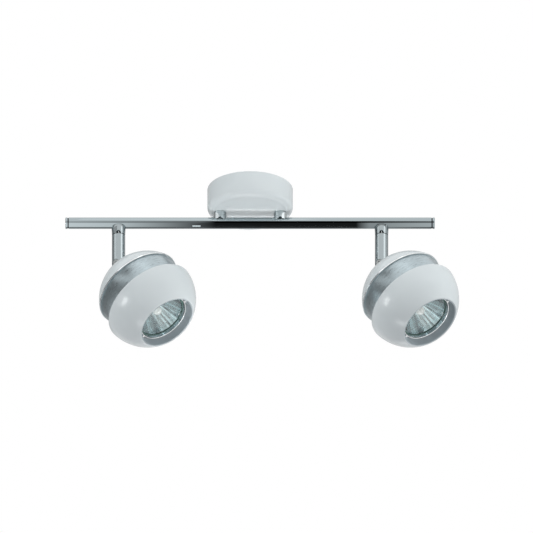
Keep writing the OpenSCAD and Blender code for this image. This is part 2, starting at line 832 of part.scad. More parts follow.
// Faceted bowl of revolution, closed on itself.
module reflector() {
    column = bowl_column();
    count = len(column);
    points = [for (turn = [0 : facet_columns - 1]) for (p = column)
        [p[0] * cos(360 * turn / facet_columns), p[0] * sin(360 * turn / facet_columns), p[1]]];
    faces = [for (turn = [0 : facet_columns - 1]) for (k = [0 : count - 1]) [
        turn * count + k,
        turn * count + (k + 1) % count,
        ((turn + 1) % facet_columns) * count + (k + 1) % count,
        ((turn + 1) % facet_columns) * count + k]];
    color(mirror_glass) translate([0, 0, face_z]) polyhedron(points, faces, convexity = 4);
}

module cover_glass() {
    edge = 0.4;
    color(clear_glass) translate([0, 0, face_z - glass_t]) {
        cylinder(r = lamp_r, h = glass_t - edge);
        translate([0, 0, glass_t - edge]) cylinder(r1 = lamp_r, r2 = lamp_r - edge, h = edge);
    }
}

// Halogen capsule with a round end and its sealed tip.
module burner() {
    color(clear_glass) translate([0, 0, face_z + reflector_back]) {
        cylinder(r = burner_r, h = burner_l - burner_r);
        translate([0, 0, burner_l - burner_r]) sphere(burner_r);
        translate([0, 0, burner_l - 0.6]) cylinder(r1 = 1.2, r2 = 0.5, h = 2);
    }
}

// Ceramic base: a round collar at the neck and a flattened foot.
module lamp_base() {
    collar_h = 5;
    base_h = lamp_base_l;
    color(ceramic) translate([0, 0, base_end_z]) {
        translate([0, 0, base_h - collar_h]) cylinder(r = neck_r, h = collar_h);
        intersection() {
            cylinder(r = neck_r + 1, h = base_h - collar_h);
            translate([0, 0, base_h / 2]) cube([2 * neck_d, 0.75 * neck_d, base_h], center = true);
        }
    }
}

module lamp_pins() {
    color(zinc) pair(pin_pitch / 2) {
        translate([0, 0, base_end_z - pin_neck_l]) cylinder(r = pin_neck_r, h = pin_neck_l);
        translate([0, 0, base_end_z - pin_neck_l - pin_head_l]) cylinder(r = pin_head_r, h = pin_head_l);
    }
}

// Pocket that a pin enters and turns through, from the way in to its locked place.
module pin_track(r, depth) {
    swing_r = pin_pitch / 2;
    for (turn = [0, -pin_twist]) {
        rotate([0, 0, turn]) translate([swing_r, 0, -depth]) cylinder(r = r, h = depth + past);
    }
    intersection() {
        translate([0, 0, -depth]) tube(swing_r + r - 0.1, swing_r - r + 0.1, 0, depth + past);
        translate([0, 0, -depth - past]) linear_extrude(depth + 3 * past) {
            polygon([[0, 0], [2 * swing_r, 0], [2 * swing_r * cos(pin_twist), -2 * swing_r * sin(pin_twist)]]);
        }
    }
}

module lamp_holder() {
    pocket_gap = 0.3;
    color(ceramic) translate([0, 0, holder_face_z]) difference() {
        translate([0, 0, -holder_h]) cylinder(r = holder_r, h = holder_h);
        for (turn = [0, 180]) {
            rotate([0, 0, turn]) {
                pin_track(pin_neck_r + pocket_gap, pin_neck_l);
                translate([0, 0, -2.5]) pin_track(pin_head_r + pocket_gap, pin_neck_l + pin_head_l - 1.5);
                rotate([0, 0, -pin_twist]) translate([pin_pitch / 2, 0, -3]) {
                    cylinder(r = pin_head_r + pocket_gap, h = 3 + past);
                }
            }
        }
        for (side = [left, right]) {
            translate([0, side * holder_screw_y, 0]) {
                translate([0, 0, -holder_h - past]) cylinder(r = small_r + fit_gap, h = holder_h + 2 * past);
                translate([0, 0, -holder_head_sink]) cylinder(r = small_head_r + 0.2, h = holder_h);
            }
        }
    }
}

module holder_screws() {
    for (side = [left, right]) {
        color(zinc) translate([0, side * holder_screw_y, holder_face_z - holder_head_sink]) {
            pan_screw(small_r, holder_h - holder_head_sink + carrier_t + hub_thread_l);
        }
    }
}

// Strap bracket: a round seat for the holder, two legs, and feet on the drum's rear flange.
module holder_bracket() {
    leg_l = carrier_foot_z + carrier_t - carrier_back_z;
    color(zinc) difference() {
        union() {
            translate([0, 0, carrier_back_z]) cylinder(r = hub_r, h = carrier_t);
            translate([-carrier_leg_x, -carrier_w / 2, carrier_back_z]) {
                cube([2 * carrier_leg_x, carrier_w, carrier_t]);
            }
            for (side = [left, right]) {
                translate([side * (carrier_leg_x - carrier_t / 2), 0, carrier_back_z + leg_l / 2]) {
                    cube([carrier_t, carrier_w, leg_l], center = true);
                }
                translate([side * (carrier_leg_x + carrier_foot_x - carrier_t) / 2, 0,
                        carrier_foot_z + carrier_t / 2]) {
                    cube([carrier_foot_x - carrier_leg_x + carrier_t, carrier_w, carrier_t], center = true);
                }
            }
        }
        pair(fixing_r) translate([0, 0, carrier_foot_z]) {
            cylinder(r = small_r + fit_gap, h = 4 * carrier_t, center = true);
        }
        pair(hub_screw_x) translate([0, 0, carrier_back_z]) {
            cylinder(r = small_r + fit_gap, h = 4 * carrier_t, center = true);
        }
        for (side = [left, right]) {
            translate([0, side * holder_screw_y, carrier_back_z]) {
                cylinder(r = small_r + fit_gap, h = 4 * carrier_t, center = true);
            }
        }
    }
}

module hub_screws() {
    color(zinc) pair(hub_screw_x) translate([0, 0, holder_back_z]) {
        pan_screw(small_r, carrier_t + hub_thread_l);
    }
}

module bracket_screws() {
    color(zinc) pair(fixing_r) translate([0, 0, carrier_foot_z]) rotate([180, 0, 0]) {
        pan_screw(small_r, carrier_t + drum_wall + 2);
    }
}

canopy();
mounting_bracket();
canopy_screws();
terminal_block();
terminal_screws();
earth_screw();
translate([left * post_x, 0, 0]) post();  // post_left
translate([right * post_x, 0, 0]) post();  // post_right
post_nipples();
post_nuts();
post_washers();
bar_tube();
end_cap(left);  // end_cap_left
end_cap(right);  // end_cap_right
translate([left * stem_x, 0, 0]) stem_collar();  // stem_collar_left
translate([right * stem_x, 0, 0]) stem_collar();  // stem_collar_right
swivel_nipples();
swivel_nuts();
on_stem(left) stem();  // stem_left
on_stem(left) stop_peg();  // stop_peg_left
on_stem(left) pivot_screw();  // pivot_screw_left
on_stem(right) stem();  // stem_right
on_stem(right) stop_peg();  // stop_peg_right
on_stem(right) pivot_screw();  // pivot_screw_right
on_head(left) tilt_tongue();  // tilt_tongue_left
on_head(left) dome_hub();  // dome_hub_left
on_head(left) rear_dome();  // rear_dome_left
on_head(left) drum();  // drum_left
on_head(left) front_shell();  // front_shell_left
on_head(left) inner_sleeve();  // inner_sleeve_left
on_head(left) retaining_ring();  // retaining_ring_left
on_head(left) reflector();  // reflector_left
on_head(left) cover_glass();  // cover_glass_left
on_head(left) burner();  // burner_left
on_head(left) lamp_base();  // lamp_base_left
on_head(left) lamp_pins();  // lamp_pins_left
on_head(left) lamp_holder();  // lamp_holder_left
on_head(left) holder_bracket();  // holder_bracket_left
on_head(left) holder_screws();  // holder_screws_left
on_head(left) hub_screws();  // hub_screws_left
on_head(left) bracket_screws();  // bracket_screws_left
on_head(left) sleeve_screws();  // sleeve_screws_left
on_head(right) tilt_tongue();  // tilt_tongue_right
on_head(right) dome_hub();  // dome_hub_right
on_head(right) rear_dome();  // rear_dome_right
on_head(right) drum();  // drum_right
on_head(right) front_shell();  // front_shell_right
on_head(right) inner_sleeve();  // inner_sleeve_right
on_head(right) retaining_ring();  // retaining_ring_right
on_head(right) reflector();  // reflector_right
on_head(right) cover_glass();  // cover_glass_right
on_head(right) burner();  // burner_right
on_head(right) lamp_base();  // lamp_base_right
on_head(right) lamp_pins();  // lamp_pins_right
on_head(right) lamp_holder();  // lamp_holder_right
on_head(right) holder_bracket();  // holder_bracket_right
on_head(right) holder_screws();  // holder_screws_right
on_head(right) hub_screws();  // hub_screws_right
on_head(right) bracket_screws();  // bracket_screws_right
on_head(right) sleeve_screws();  // sleeve_screws_right
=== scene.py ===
"""Visual model of a ceiling spotlight bar with two ball heads.

Sizes of the object are in millimetres, and the pieces are placed by the same frames as the
construction model: the origin is the centre of the canopy's ceiling face, +Z points into the ceiling,
and the bar runs along X. The viewer stands below, on the -Y side. Meshes are handed over in metres,
and the camera and the lamps round the object are placed in metres.
"""
import json
import logging
import math
import random
from dataclasses import dataclass, field
from enum import Enum
from typing import Iterable, Optional, Sequence

import bmesh
import bpy
from bpy.types import Material, Node, NodeSocket, NodeTree, Object
from mathutils import Matrix, Vector


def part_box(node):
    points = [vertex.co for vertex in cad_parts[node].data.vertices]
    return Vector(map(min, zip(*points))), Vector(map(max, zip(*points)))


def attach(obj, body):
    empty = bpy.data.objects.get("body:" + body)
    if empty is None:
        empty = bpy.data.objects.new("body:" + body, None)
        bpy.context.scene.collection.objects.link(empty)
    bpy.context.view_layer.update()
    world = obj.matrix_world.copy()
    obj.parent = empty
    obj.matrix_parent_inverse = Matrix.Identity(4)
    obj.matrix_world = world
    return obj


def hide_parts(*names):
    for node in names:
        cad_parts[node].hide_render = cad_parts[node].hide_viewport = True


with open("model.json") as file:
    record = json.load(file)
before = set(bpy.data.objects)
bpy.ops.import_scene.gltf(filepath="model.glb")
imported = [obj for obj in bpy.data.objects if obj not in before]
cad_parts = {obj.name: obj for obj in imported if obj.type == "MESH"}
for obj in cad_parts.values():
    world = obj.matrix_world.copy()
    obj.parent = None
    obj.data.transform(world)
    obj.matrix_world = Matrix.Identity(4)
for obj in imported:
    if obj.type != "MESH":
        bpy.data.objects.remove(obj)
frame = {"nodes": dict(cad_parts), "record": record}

Pair = tuple[float, float]
Triple = tuple[float, float, float]
Ramp = tuple[Pair, ...]
Inputs = dict[int | str, object]

LOG = logging.getLogger("spotlight_bar")
MM = 0.001
TURN_STEPS = 128
WIDE_STEPS = 160
ROD_STEPS = 64
COIL_STEPS = 12
WIRE_STEPS = 6
MERGE_REACH = 1e-4
COPY_MERGE_REACH = 2e-6
SHARP_LIMIT = math.radians(40.0)
SMOOTH_LIMIT = math.radians(32.0)
FINE_LIMIT = math.radians(14.0)
TURNING = "turning"
HERE = Matrix.Identity(4)
WHITE = (1.0, 1.0, 1.0, 1.0)
SLOTS = {entry["node"]: entry["material_slot"] for entry in frame["record"]["subparts"]}


class Side(Enum):
    """The two ends of the bar."""

    LEFT = "left"
    RIGHT = "right"

    @property
    def sign(self) -> float:
        """Return -1 for the left end and +1 for the right end."""
        return -1.0 if self is Side.LEFT else 1.0

    def node(self, name: str) -> str:
        """Return the name of this side's node or body."""
        return f"{name}_{self.value}"


class Measure(Enum):
    """What a range of faces is picked by."""

    RADIUS = "radius"
    HEIGHT = "height"


class Texture(Enum):
    """The kinds of fine texture."""

    CLOUDED = "clouded"
    STREAKED = "streaked"
    FACETED = "faceted"


@dataclass(frozen=True)
class Aim:
    """Where the stems stand, and how the heads are turned at rest."""

    stem_spacing: float = 263.0
    pivot_z: float = -82.95
    pivot_reach: float = 55.748
    swivel: float = 25.6
    tilt: float = 35.2

    def stem(self, side: Side) -> Matrix:
        """Return the frame of a stem, with the tilt axis along Y through its origin."""
        place = Matrix.Translation((side.sign * self.stem_spacing / 2, 0.0, self.pivot_z))
        return place @ Matrix.Rotation(-math.radians(self.swivel), 4, "Z")

    def head(self, side: Side) -> Matrix:
        """Return the frame of a ball, with its centre at the origin and its mouth on +Z."""
        tilted = self.stem(side) @ Matrix.Rotation(-math.radians(self.tilt), 4, "Y")
        return tilted @ Matrix.Translation((0.0, 0.0, -self.pivot_reach)) @ Matrix.Rotation(math.pi, 4, "X")


# Meshes


class Shape:
    """A mesh in the making, in millimetres, with a drawing tip for profiles in the XZ half plane."""

    def __init__(self) -> None:
        """Start with nothing drawn."""
        self.bm = bmesh.new()
        self.tip: Optional[bmesh.types.BMVert] = None

    def start(self, r: float, z: float) -> "Shape":
        """Put the drawing tip down at a radius and a height."""
        self.tip = self.bm.verts.new((r, 0.0, z))
        return self

    def line(self, *stops: tuple[float, float]) -> "Shape":
        """Draw straight lines from stop to stop.

        Args:
            stops: Radius and height of each stop.

        Returns:
            The shape itself.
        """
        for r, z in stops:
            grown = bmesh.ops.extrude_vert_indiv(self.bm, verts=[self.tip])
            self.tip = grown["verts"][0]
            self.tip.co = (r, 0.0, z)
        return self

    def arc(self, r: float, z: float, degrees: float, steps: int) -> "Shape":
        """Draw an arc round a centre; a positive angle goes from +X towards +Z.

        Args:
            r: Radius of the centre.
            z: Height of the centre.
            degrees: Angle that the tip travels.
            steps: Number of chords.

        Returns:
            The shape itself.
        """
        grown = bmesh.ops.spin(self.bm, geom=[self.tip], cent=(r, 0.0, z), axis=(0.0, -1.0, 0.0),
                               angle=math.radians(degrees), steps=steps)
        self.tip = next(part for part in grown["geom_last"] if isinstance(part, bmesh.types.BMVert))
        return self

    def turn(self, steps: int = TURN_STEPS, degrees: float = 360.0) -> "Shape":
        """Spin the drawn profile about Z and close its seams and poles.

        Args:
            steps: Number of faces round the turn.
            degrees: Angle of the turn; less than a full one leaves two open sides.

        Returns:
            The shape itself.
        """
        bmesh.ops.remove_doubles(self.bm, verts=self.bm.verts[:], dist=MERGE_REACH)
        bmesh.ops.spin(self.bm, geom=self.bm.verts[:] + self.bm.edges[:], cent=(0.0, 0.0, 0.0),
                       axis=(0.0, 0.0, 1.0), angle=math.radians(degrees), steps=steps,
                       use_merge=degrees >= 360.0)
        bmesh.ops.remove_doubles(self.bm, verts=self.bm.verts[:], dist=MERGE_REACH)
        bmesh.ops.recalc_face_normals(self.bm, faces=self.bm.faces[:])
        return self

    def sweep(self, length: float) -> "Shape":
        """Draw the profile out along Y.

        Args:
            length: How far, half of it to each side.

        Returns:
            The shape itself.
        """
        bmesh.ops.translate(self.bm, verts=self.bm.verts[:], vec=(0.0, -length / 2, 0.0))
        grown = bmesh.ops.extrude_edge_only(self.bm, edges=self.bm.edges[:])
        ends = [part for part in grown["geom"] if isinstance(part, bmesh.types.BMVert)]
        bmesh.ops.translate(self.bm, verts=ends, vec=(0.0, length, 0.0))
        return self

    def flute(self, columns: int, depth: float, reach: float, seed: int) -> "Shape":
        """Make a turned mesh uneven, as pressed glass is, column by column and corner by corner.

        Args:
            columns: Number of columns round the turn.
            depth: Greatest change of a column's radius, as a share of it.
            reach: Farthest that a single corner moves.
            seed: Start of the random numbers.

        Returns:
            The shape itself.
        """
        chance = random.Random(seed)
        swell = [1.0 + chance.uniform(-depth, depth) for _ in range(columns)]
        for vert in self.bm.verts:
            column = round(math.atan2(vert.co.y, vert.co.x) / math.tau * columns) % columns
            vert.co.x *= swell[column]
            vert.co.y *= swell[column]
            vert.co.z += chance.uniform(-reach, reach)
        return self

    def flip(self) -> "Shape":
        """Turn every face round."""
        bmesh.ops.reverse_faces(self.bm, faces=self.bm.faces[:])
        return self

    def soften(self, width: float) -> "Shape":
        """Round the sharp edges.

        Args:
            width: Width of the rounding.

        Returns:
            The shape itself.
        """
        edges = [edge for edge in self.bm.edges
                 if len(edge.link_faces) == 2 and edge.calc_face_angle(0.0) > SHARP_LIMIT]
        bmesh.ops.bevel(self.bm, geom=edges, offset=width, offset_type="OFFSET", affect="EDGES",
                        segments=2, profile=0.5, clamp_overlap=True, material=-1)
        return self

    def block(self, size: Sequence[float], place: Matrix) -> "Shape":
        """Add a box of a given size, centred at a place."""
        bmesh.ops.create_cube(self.bm, size=1.0, matrix=place @ Matrix.Diagonal((*size, 1.0)))
        return self

    def rod(self, radius: float, length: float, place: Matrix) -> "Shape":
        """Add a closed cylinder along Z, centred at a place."""
        bmesh.ops.create_cone(self.bm, cap_ends=True, cap_tris=False, segments=ROD_STEPS, radius1=radius,
                              radius2=radius, depth=length, matrix=place)
        return self

    def coil(self, radius: float, wire: float, pitch: float, turns: int, place: Matrix) -> "Shape":
        """Add a wound wire about the Z axis of a place.

        Args:
            radius: Radius of the winding.
            wire: Radius of the wire.
            pitch: Rise of one turn.
            turns: Number of turns.
            place: Frame of the winding's start.

        Returns:
            The shape itself.
        """
        start = Matrix.Translation((radius, 0.0, 0.0)) @ Matrix.Rotation(math.pi / 2, 4, "X")
        ring = bmesh.ops.create_circle(self.bm, cap_ends=False, segments=WIRE_STEPS, radius=wire,
                                       matrix=start)
        edges = {e for v in ring["verts"] for e in v.link_edges}
        grown = bmesh.ops.spin(self.bm, geom=ring["verts"] + list(edges), cent=(0.0, 0.0, 0.0),
                               axis=(0.0, 0.0, 1.0), dvec=(0.0, 0.0, pitch / COIL_STEPS),
                               angle=turns * math.tau, steps=COIL_STEPS * turns)
        ends = [e for e in grown["geom_last"] if isinstance(e, bmesh.types.BMEdge)]
        bmesh.ops.edgeloop_fill(self.bm, edges=ends)
        bmesh.ops.edgeloop_fill(self.bm, edges=[e for e in edges if e.is_valid])
        bmesh.ops.recalc_face_normals(self.bm, faces=self.bm.faces[:])
        bmesh.ops.transform(self.bm, matrix=place, verts=self.bm.verts[:])
        return self

    def paint(self, slot: int, measure: Measure, low: float, high: float) -> "Shape":
        """Give the faces whose middle lies in a range another material slot.

        Args:
            slot: Index of the material slot.
            measure: Whether the middle's radius or its height is meant.
            low: Lower end of the range.
            high: Upper end of the range.

        Returns:
            The shape itself.
        """
        for face in self.bm.faces:
            middle = face.calc_center_median()
            value = math.hypot(middle.x, middle.y) if measure is Measure.RADIUS else middle.z
            if low <= value <= high:
                face.material_index = slot
        return self

    def to_object(self, name: str, place: Matrix, materials: Sequence[Material],
                  flat: bool = False) -> Object:
        """Place the mesh in the scene, in metres, and free the working mesh.

        Args:
            name: Name of the new object.
            place: Frame of the shape, in millimetres.
            materials: Materials of the slots, in order.
            flat: Whether every facet keeps its own flat shading.

        Returns:
            The new object, at the origin, with its place in its mesh.
        """
        turning = self.bm.verts.layers.float_vector.new(TURNING)
        for vert in self.bm.verts:
            vert[turning] = vert.co
        self.bm.transform(Matrix.Scale(MM, 4) @ place)
        for face in self.bm.faces:
            face.smooth = not flat
        mesh = bpy.data.meshes.new(name)
        self.bm.to_mesh(mesh)
        self.bm.free()
        for material in materials:
            mesh.materials.append(material)
        mesh.set_sharp_from_angle(angle=SMOOTH_LIMIT)
        return into_scene(name, mesh)


def into_scene(name: str, data: bpy.types.ID) -> Object:
    """Link a new object into the scene.

    Args:
        name: Name of the object.
        data: Its mesh, camera or light.

    Returns:
        The new object.
    """
    made = bpy.data.objects.new(name, data)
    bpy.context.scene.collection.objects.link(made)
    return made


def carve(piece: Object, cutter: Shape, place: Matrix) -> None:
    """Cut a shape out of a piece and keep the result as its mesh.

    Args:
        piece: The piece to cut.
        cutter: Closed shape in millimetres; it is used up.
        place: Frame of the cutter, in millimetres.
    """
    tool = cutter.to_object("cutting_tool", place, [])
    cut = piece.modifiers.new("cut", "BOOLEAN")
    cut.operation = "DIFFERENCE"
    cut.solver = "EXACT"
    cut.object = tool
    depsgraph = bpy.context.evaluated_depsgraph_get()
    whole = piece.data
    piece.data = bpy.data.meshes.new_from_object(piece.evaluated_get(depsgraph), depsgraph=depsgraph)
    piece.modifiers.clear()
    piece.data.name = whole.name
    bpy.data.meshes.remove(whole)
    bpy.data.meshes.remove(tool.data)
    piece.data.set_sharp_from_angle(angle=SMOOTH_LIMIT)


def smoothed_copy(node: str, material: Material) -> Object:
    """Copy a construction node, merge its triangles and shade its round faces smooth.

    Args:
        node: Name of the node.
        material: Finish of the copy.

    Returns:
        The new object.
    """
    bm = bmesh.new()
    bm.from_mesh(frame["nodes"][node].data)
    bmesh.ops.remove_doubles(bm, verts=bm.verts[:], dist=COPY_MERGE_REACH)
    for face in bm.faces:
        face.smooth = True
        face.material_index = 0
    mesh = bpy.data.meshes.new(f"{node}_piece")
    bm.to_mesh(mesh)
    bm.free()
    mesh.materials.append(material)
    mesh.set_sharp_from_angle(angle=FINE_LIMIT)
    return into_scene(mesh.name, mesh)


def hand_over(piece: Object, body: str, slot: str, *nodes: str) -> None:
    """Let a piece ride on its body and stand for its nodes, and report it.

    Args:
        piece: The finished piece.
        body: Name of the body that carries it.
        slot: Name of the record's material slot; not used.
        nodes: Construction nodes that the piece replaces.
    """
    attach(piece, body)
    proud = 0.0
    if nodes:
        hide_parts(*nodes)
        boxes = [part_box(node) for node in nodes]
        for axis in range(3):
            reach = [corner[axis] for corner in piece.bound_box]
            low, high = min(box[0][axis] for box in boxes), max(box[1][axis] for box in boxes)
            proud = max(proud, low - min(reach), max(reach) - high)
    LOG.info("%s on %s, %d faces, proud of its nodes by %.3f mm", piece.name, body,
             len(piece.data.polygons), proud / MM)


# Shared effects


def fill(tree: NodeTree, node: Node, values: Inputs) -> Node:
    """Set the inputs of a shader node.

    Args:
        tree: The node tree.
        node: The node.
        values: A number or colour, or a socket to link, by the input's name or index.

    Returns:
        The node itself.
    """
    for key, value in values.items():
        if isinstance(value, NodeSocket):
            tree.links.new(value, node.inputs[key])
        else:
            node.inputs[key].default_value = value
    return node


def add_node(tree: NodeTree, kind: str, values: Inputs, operation: str = "") -> Node:
    """Add a shader node and set its inputs.

    Args:
        tree: The node tree.
        kind: Kind of the node.
        values: What its inputs take, as for fill.
        operation: Name of its operation, if it has one.

    Returns:
        The new node.
    """
    node = tree.nodes.new(f"ShaderNode{kind}")
    if operation:
        node.operation = operation
    return fill(tree, node, values)


def reckon(tree: NodeTree, operation: str, *values: object) -> NodeSocket:
    """Add a math node for some sockets or numbers, and return its result."""
    return add_node(tree, "Math", dict(enumerate(values)), operation).outputs[0]


def mixed(tree: NodeTree, share: NodeSocket, first: NodeSocket, second: NodeSocket) -> NodeSocket:
    """Mix two shaders by the share of the second, and return the result."""
    return add_node(tree, "MixShader", {"Fac": share, 1: first, 2: second}).outputs["Shader"]


def one_sided(tree: NodeTree, front: NodeSocket) -> NodeSocket:
    """Return a shader that shows on the front of a face and is clear on its back."""
    clear = tree.nodes.new("ShaderNodeBsdfTransparent").outputs["BSDF"]
    return mixed(tree, tree.nodes.new("ShaderNodeNewGeometry").outputs["Backfacing"], front, clear)


def seen_directly(tree: NodeTree) -> NodeSocket:
    """Return a socket that is 1 for camera, mirror and glass rays, and 0 for others."""
    camera, mirror, glass = (tree.nodes.new("ShaderNodeLightPath").outputs[f"Is {ray} Ray"]
                             for ray in ("Camera", "Glossy", "Transmission"))
    return reckon(tree, "MAXIMUM", reckon(tree, "MAXIMUM", camera, mirror), glass)


class Effects:
    """Node groups that several finishes use, each built once."""

    patch_weight: float = 0.15
    row_weight: float = 0.5

    def __init__(self) -> None:
        """Build the group of each kind of texture."""
        self.groups = {Texture.CLOUDED: self._clouds(), Texture.STREAKED: self._streaks(),
                       Texture.FACETED: self._facets()}

    @staticmethod
    def _start(name: str, own: Inputs) -> tuple[NodeTree, Node]:
        """Make a group with the sockets that every effect has and some of its own.

        Args:
            name: Name of the group.
            own: Default of each input of its own.

        Returns:
            The group and its input node.
        """
        tree = bpy.data.node_groups.new(name, "ShaderNodeTree")
        kinds = {"Vector": "NodeSocketVector", "Run": "NodeSocketVector", "Colour": "NodeSocketColor"}
        shared = {"Vector": (0.0, 0.0, 0.0), "Colour": WHITE, "Depth": 0.1, "Gloss": 0.3,
                  "Gloss spread": 0.05}
        for label, default in {**shared, **own}.items():
            kind = kinds.get(label, "NodeSocketFloat")
            tree.interface.new_socket(name=label, in_out="INPUT", socket_type=kind).default_value = default
        for label in ("Colour", "Roughness", "Grain"):
            kind = kinds.get(label, "NodeSocketFloat")
            tree.interface.new_socket(name=label, in_out="OUTPUT", socket_type=kind)
        return tree, tree.nodes.new("NodeGroupInput")

    @staticmethod
    def _end(tree: NodeTree, entry: Node, tone: NodeSocket, gloss: NodeSocket,
             grain: NodeSocket) -> NodeTree:
        """Put out the colour, the roughness and the grain of a group.

        Args:
            tree: The group.
            entry: Its input node.
            tone: What makes the colour lighter and darker.
            gloss: What makes the roughness uneven.
            grain: Height of the fine grain.

        Returns:
            The group itself.
        """
        shade = reckon(tree, "MULTIPLY_ADD", tone, entry.outputs["Depth"], 1.0)
        colour = add_node(tree, "VectorMath", {0: entry.outputs["Colour"], "Scale": shade}, "SCALE")
        rough = reckon(tree, "MULTIPLY_ADD", gloss, entry.outputs["Gloss spread"], entry.outputs["Gloss"])
        fill(tree, tree.nodes.new("NodeGroupOutput"),
             {"Colour": colour.outputs["Vector"], "Roughness": rough, "Grain": grain})
        return tree

    @classmethod
    def _clouds(cls) -> NodeTree:
        """Make the group for cloudy tone, uneven gloss and fine grain of a finished surface.

        Returns:
            The new group.
        """
        tree, entry = cls._start("finished_surface", {"Cloud scale": 20.0, "Grain scale": 900.0})
        cloud, grain = (
            add_node(tree, "TexNoise", {"Vector": entry.outputs["Vector"], "Scale": entry.outputs[scale],
                                        "Detail": detail}).outputs["Fac"]
            for scale, detail in (("Cloud scale", 4.0), ("Grain scale", 3.0)))
        tone = reckon(tree, "SUBTRACT", cloud, 0.5)
        gloss = reckon(tree, "ADD", tone, reckon(tree, "SUBTRACT", grain, 0.5))
        return cls._end(tree, entry, tone, gloss, grain)

    @classmethod
    def _streaks(cls) -> NodeTree:
        """Make the group for lines that a brush or a lathe tool leaves round a turned piece.

        Returns:
            The new group.
        """
        tree, entry = cls._start("brushed_streaks", {"Run": (0.06, 0.06, 2.6)})
        where = entry.outputs["Vector"]
        stretch = add_node(tree, "VectorMath", {0: where, 1: entry.outputs["Run"]}, "MULTIPLY")
        lines = add_node(tree, "TexNoise", {"Vector": stretch.outputs["Vector"], "Scale": 1.0,
                                            "Detail": 6.0, "Roughness": 0.7}).outputs["Fac"]
        patches = add_node(tree, "TexNoise", {"Vector": where, "Scale": 0.05, "Detail": 2.0}).outputs["Fac"]
        fine = reckon(tree, "SUBTRACT", lines, 0.5)
        patchy = reckon(tree, "SUBTRACT", patches, 0.5)
        tone = reckon(tree, "MULTIPLY_ADD", patchy, cls.patch_weight, fine)
        return cls._end(tree, entry, tone, fine, lines)

    @classmethod
    def _facets(cls) -> NodeTree:
        """Make the group for the uneven tone of facets that stand in columns round an axis.

        Returns:
            The new group.
        """
        tree, entry = cls._start("facet_tones", {"Columns": 64.0, "Pitch": 3.0})
        split = add_node(tree, "SeparateXYZ", {"Vector": entry.outputs["Vector"]})
        x, y = split.outputs["X"], split.outputs["Y"]
        turn = reckon(tree, "DIVIDE", reckon(tree, "ARCTAN2", y, x), math.tau)
        column = reckon(tree, "FLOOR", reckon(tree, "MULTIPLY", turn, entry.outputs["Columns"]))
        out = reckon(tree, "SQRT", reckon(tree, "MULTIPLY_ADD", x, x, reckon(tree, "MULTIPLY", y, y)))
        row = reckon(tree, "FLOOR", reckon(tree, "DIVIDE", out, entry.outputs["Pitch"]))
        place = add_node(tree, "CombineXYZ", {"X": column, "Y": row}).outputs["Vector"]
        noises = []
        for dimensions, label, value in (("2D", "Vector", place), ("1D", "W", column)):
            noise = tree.nodes.new("ShaderNodeTexWhiteNoise")
            noise.noise_dimensions = dimensions
            noises.append(fill(tree, noise, {label: value}).outputs["Value"])
        single, whole = noises
        both = reckon(tree, "MULTIPLY_ADD", single, cls.row_weight, whole)
        tone = reckon(tree, "SUBTRACT", both, (1.0 + cls.row_weight) / 2)
        return cls._end(tree, entry, tone, single, single)


# Finishes


@dataclass(frozen=True)
class Finish:
    """A finished surface: its colour, gloss and the texture that shows close up."""

    name: str
    colour: Triple
    roughness: float
    metallic: float = 0.0
    gloss_spread: float = 0.05
    cloud_scale: float = 20.0
    cloud_depth: float = 0.04
    grain_scale: float = 900.0
    grain_height: float = 0.02
    transmission: float = 0.0
    ior: float = 1.5
    texture: Texture = Texture.CLOUDED
    streak_run: Triple = (0.06, 0.06, 2.6)
    # A glow painted into a surface that is no lit lamp; it stands in for a highlight.
    painted_glow: float = 0.0
    painted_glow_colour: tuple[float, float, float, float] = (1.0, 0.97, 0.92, 1.0)

    def material(self, effects: Effects) -> Material:
        """Build the material.

        Args:
            effects: The shared node groups.

        Returns:
            The new material.
        """
        made = bpy.data.materials.new(self.name)
        made.use_nodes = True
        tree = made.node_tree
        if self.texture is Texture.CLOUDED:
            place = tree.nodes.new("ShaderNodeTexCoord").outputs["Object"]
            own = {"Cloud scale": self.cloud_scale, "Grain scale": self.grain_scale}
        else:
            attribute = tree.nodes.new("ShaderNodeAttribute")
            attribute.attribute_name = TURNING
            place = attribute.outputs["Vector"]
            own = {"Run": self.streak_run} if self.texture is Texture.STREAKED else {}
        texture = tree.nodes.new("ShaderNodeGroup")
        texture.node_tree = effects.groups[self.texture]
        fill(tree, texture, {"Vector": place, "Colour": (*self.colour, 1.0), "Depth": self.cloud_depth,
                             "Gloss": self.roughness, "Gloss spread": self.gloss_spread, **own})
        bump = add_node(tree, "Bump", {"Strength": 1.0, "Distance": self.grain_height * MM,
                                       "Height": texture.outputs["Grain"]})
        shader = fill(tree, tree.nodes["Principled BSDF"], {
            "Base Color": texture.outputs["Colour"], "Roughness": texture.outputs["Roughness"],
            "Normal": bump.outputs["Normal"], "Metallic": self.metallic, "IOR": self.ior,
            "Transmission Weight": self.transmission})
        # Only the burner glows. Its glow is a painted highlight, since the lamp is not lit.
        if self.painted_glow > 0.0:
            fill(tree, shader, {"Emission Color": self.painted_glow_colour, "Emission Strength": self.painted_glow})
        return made


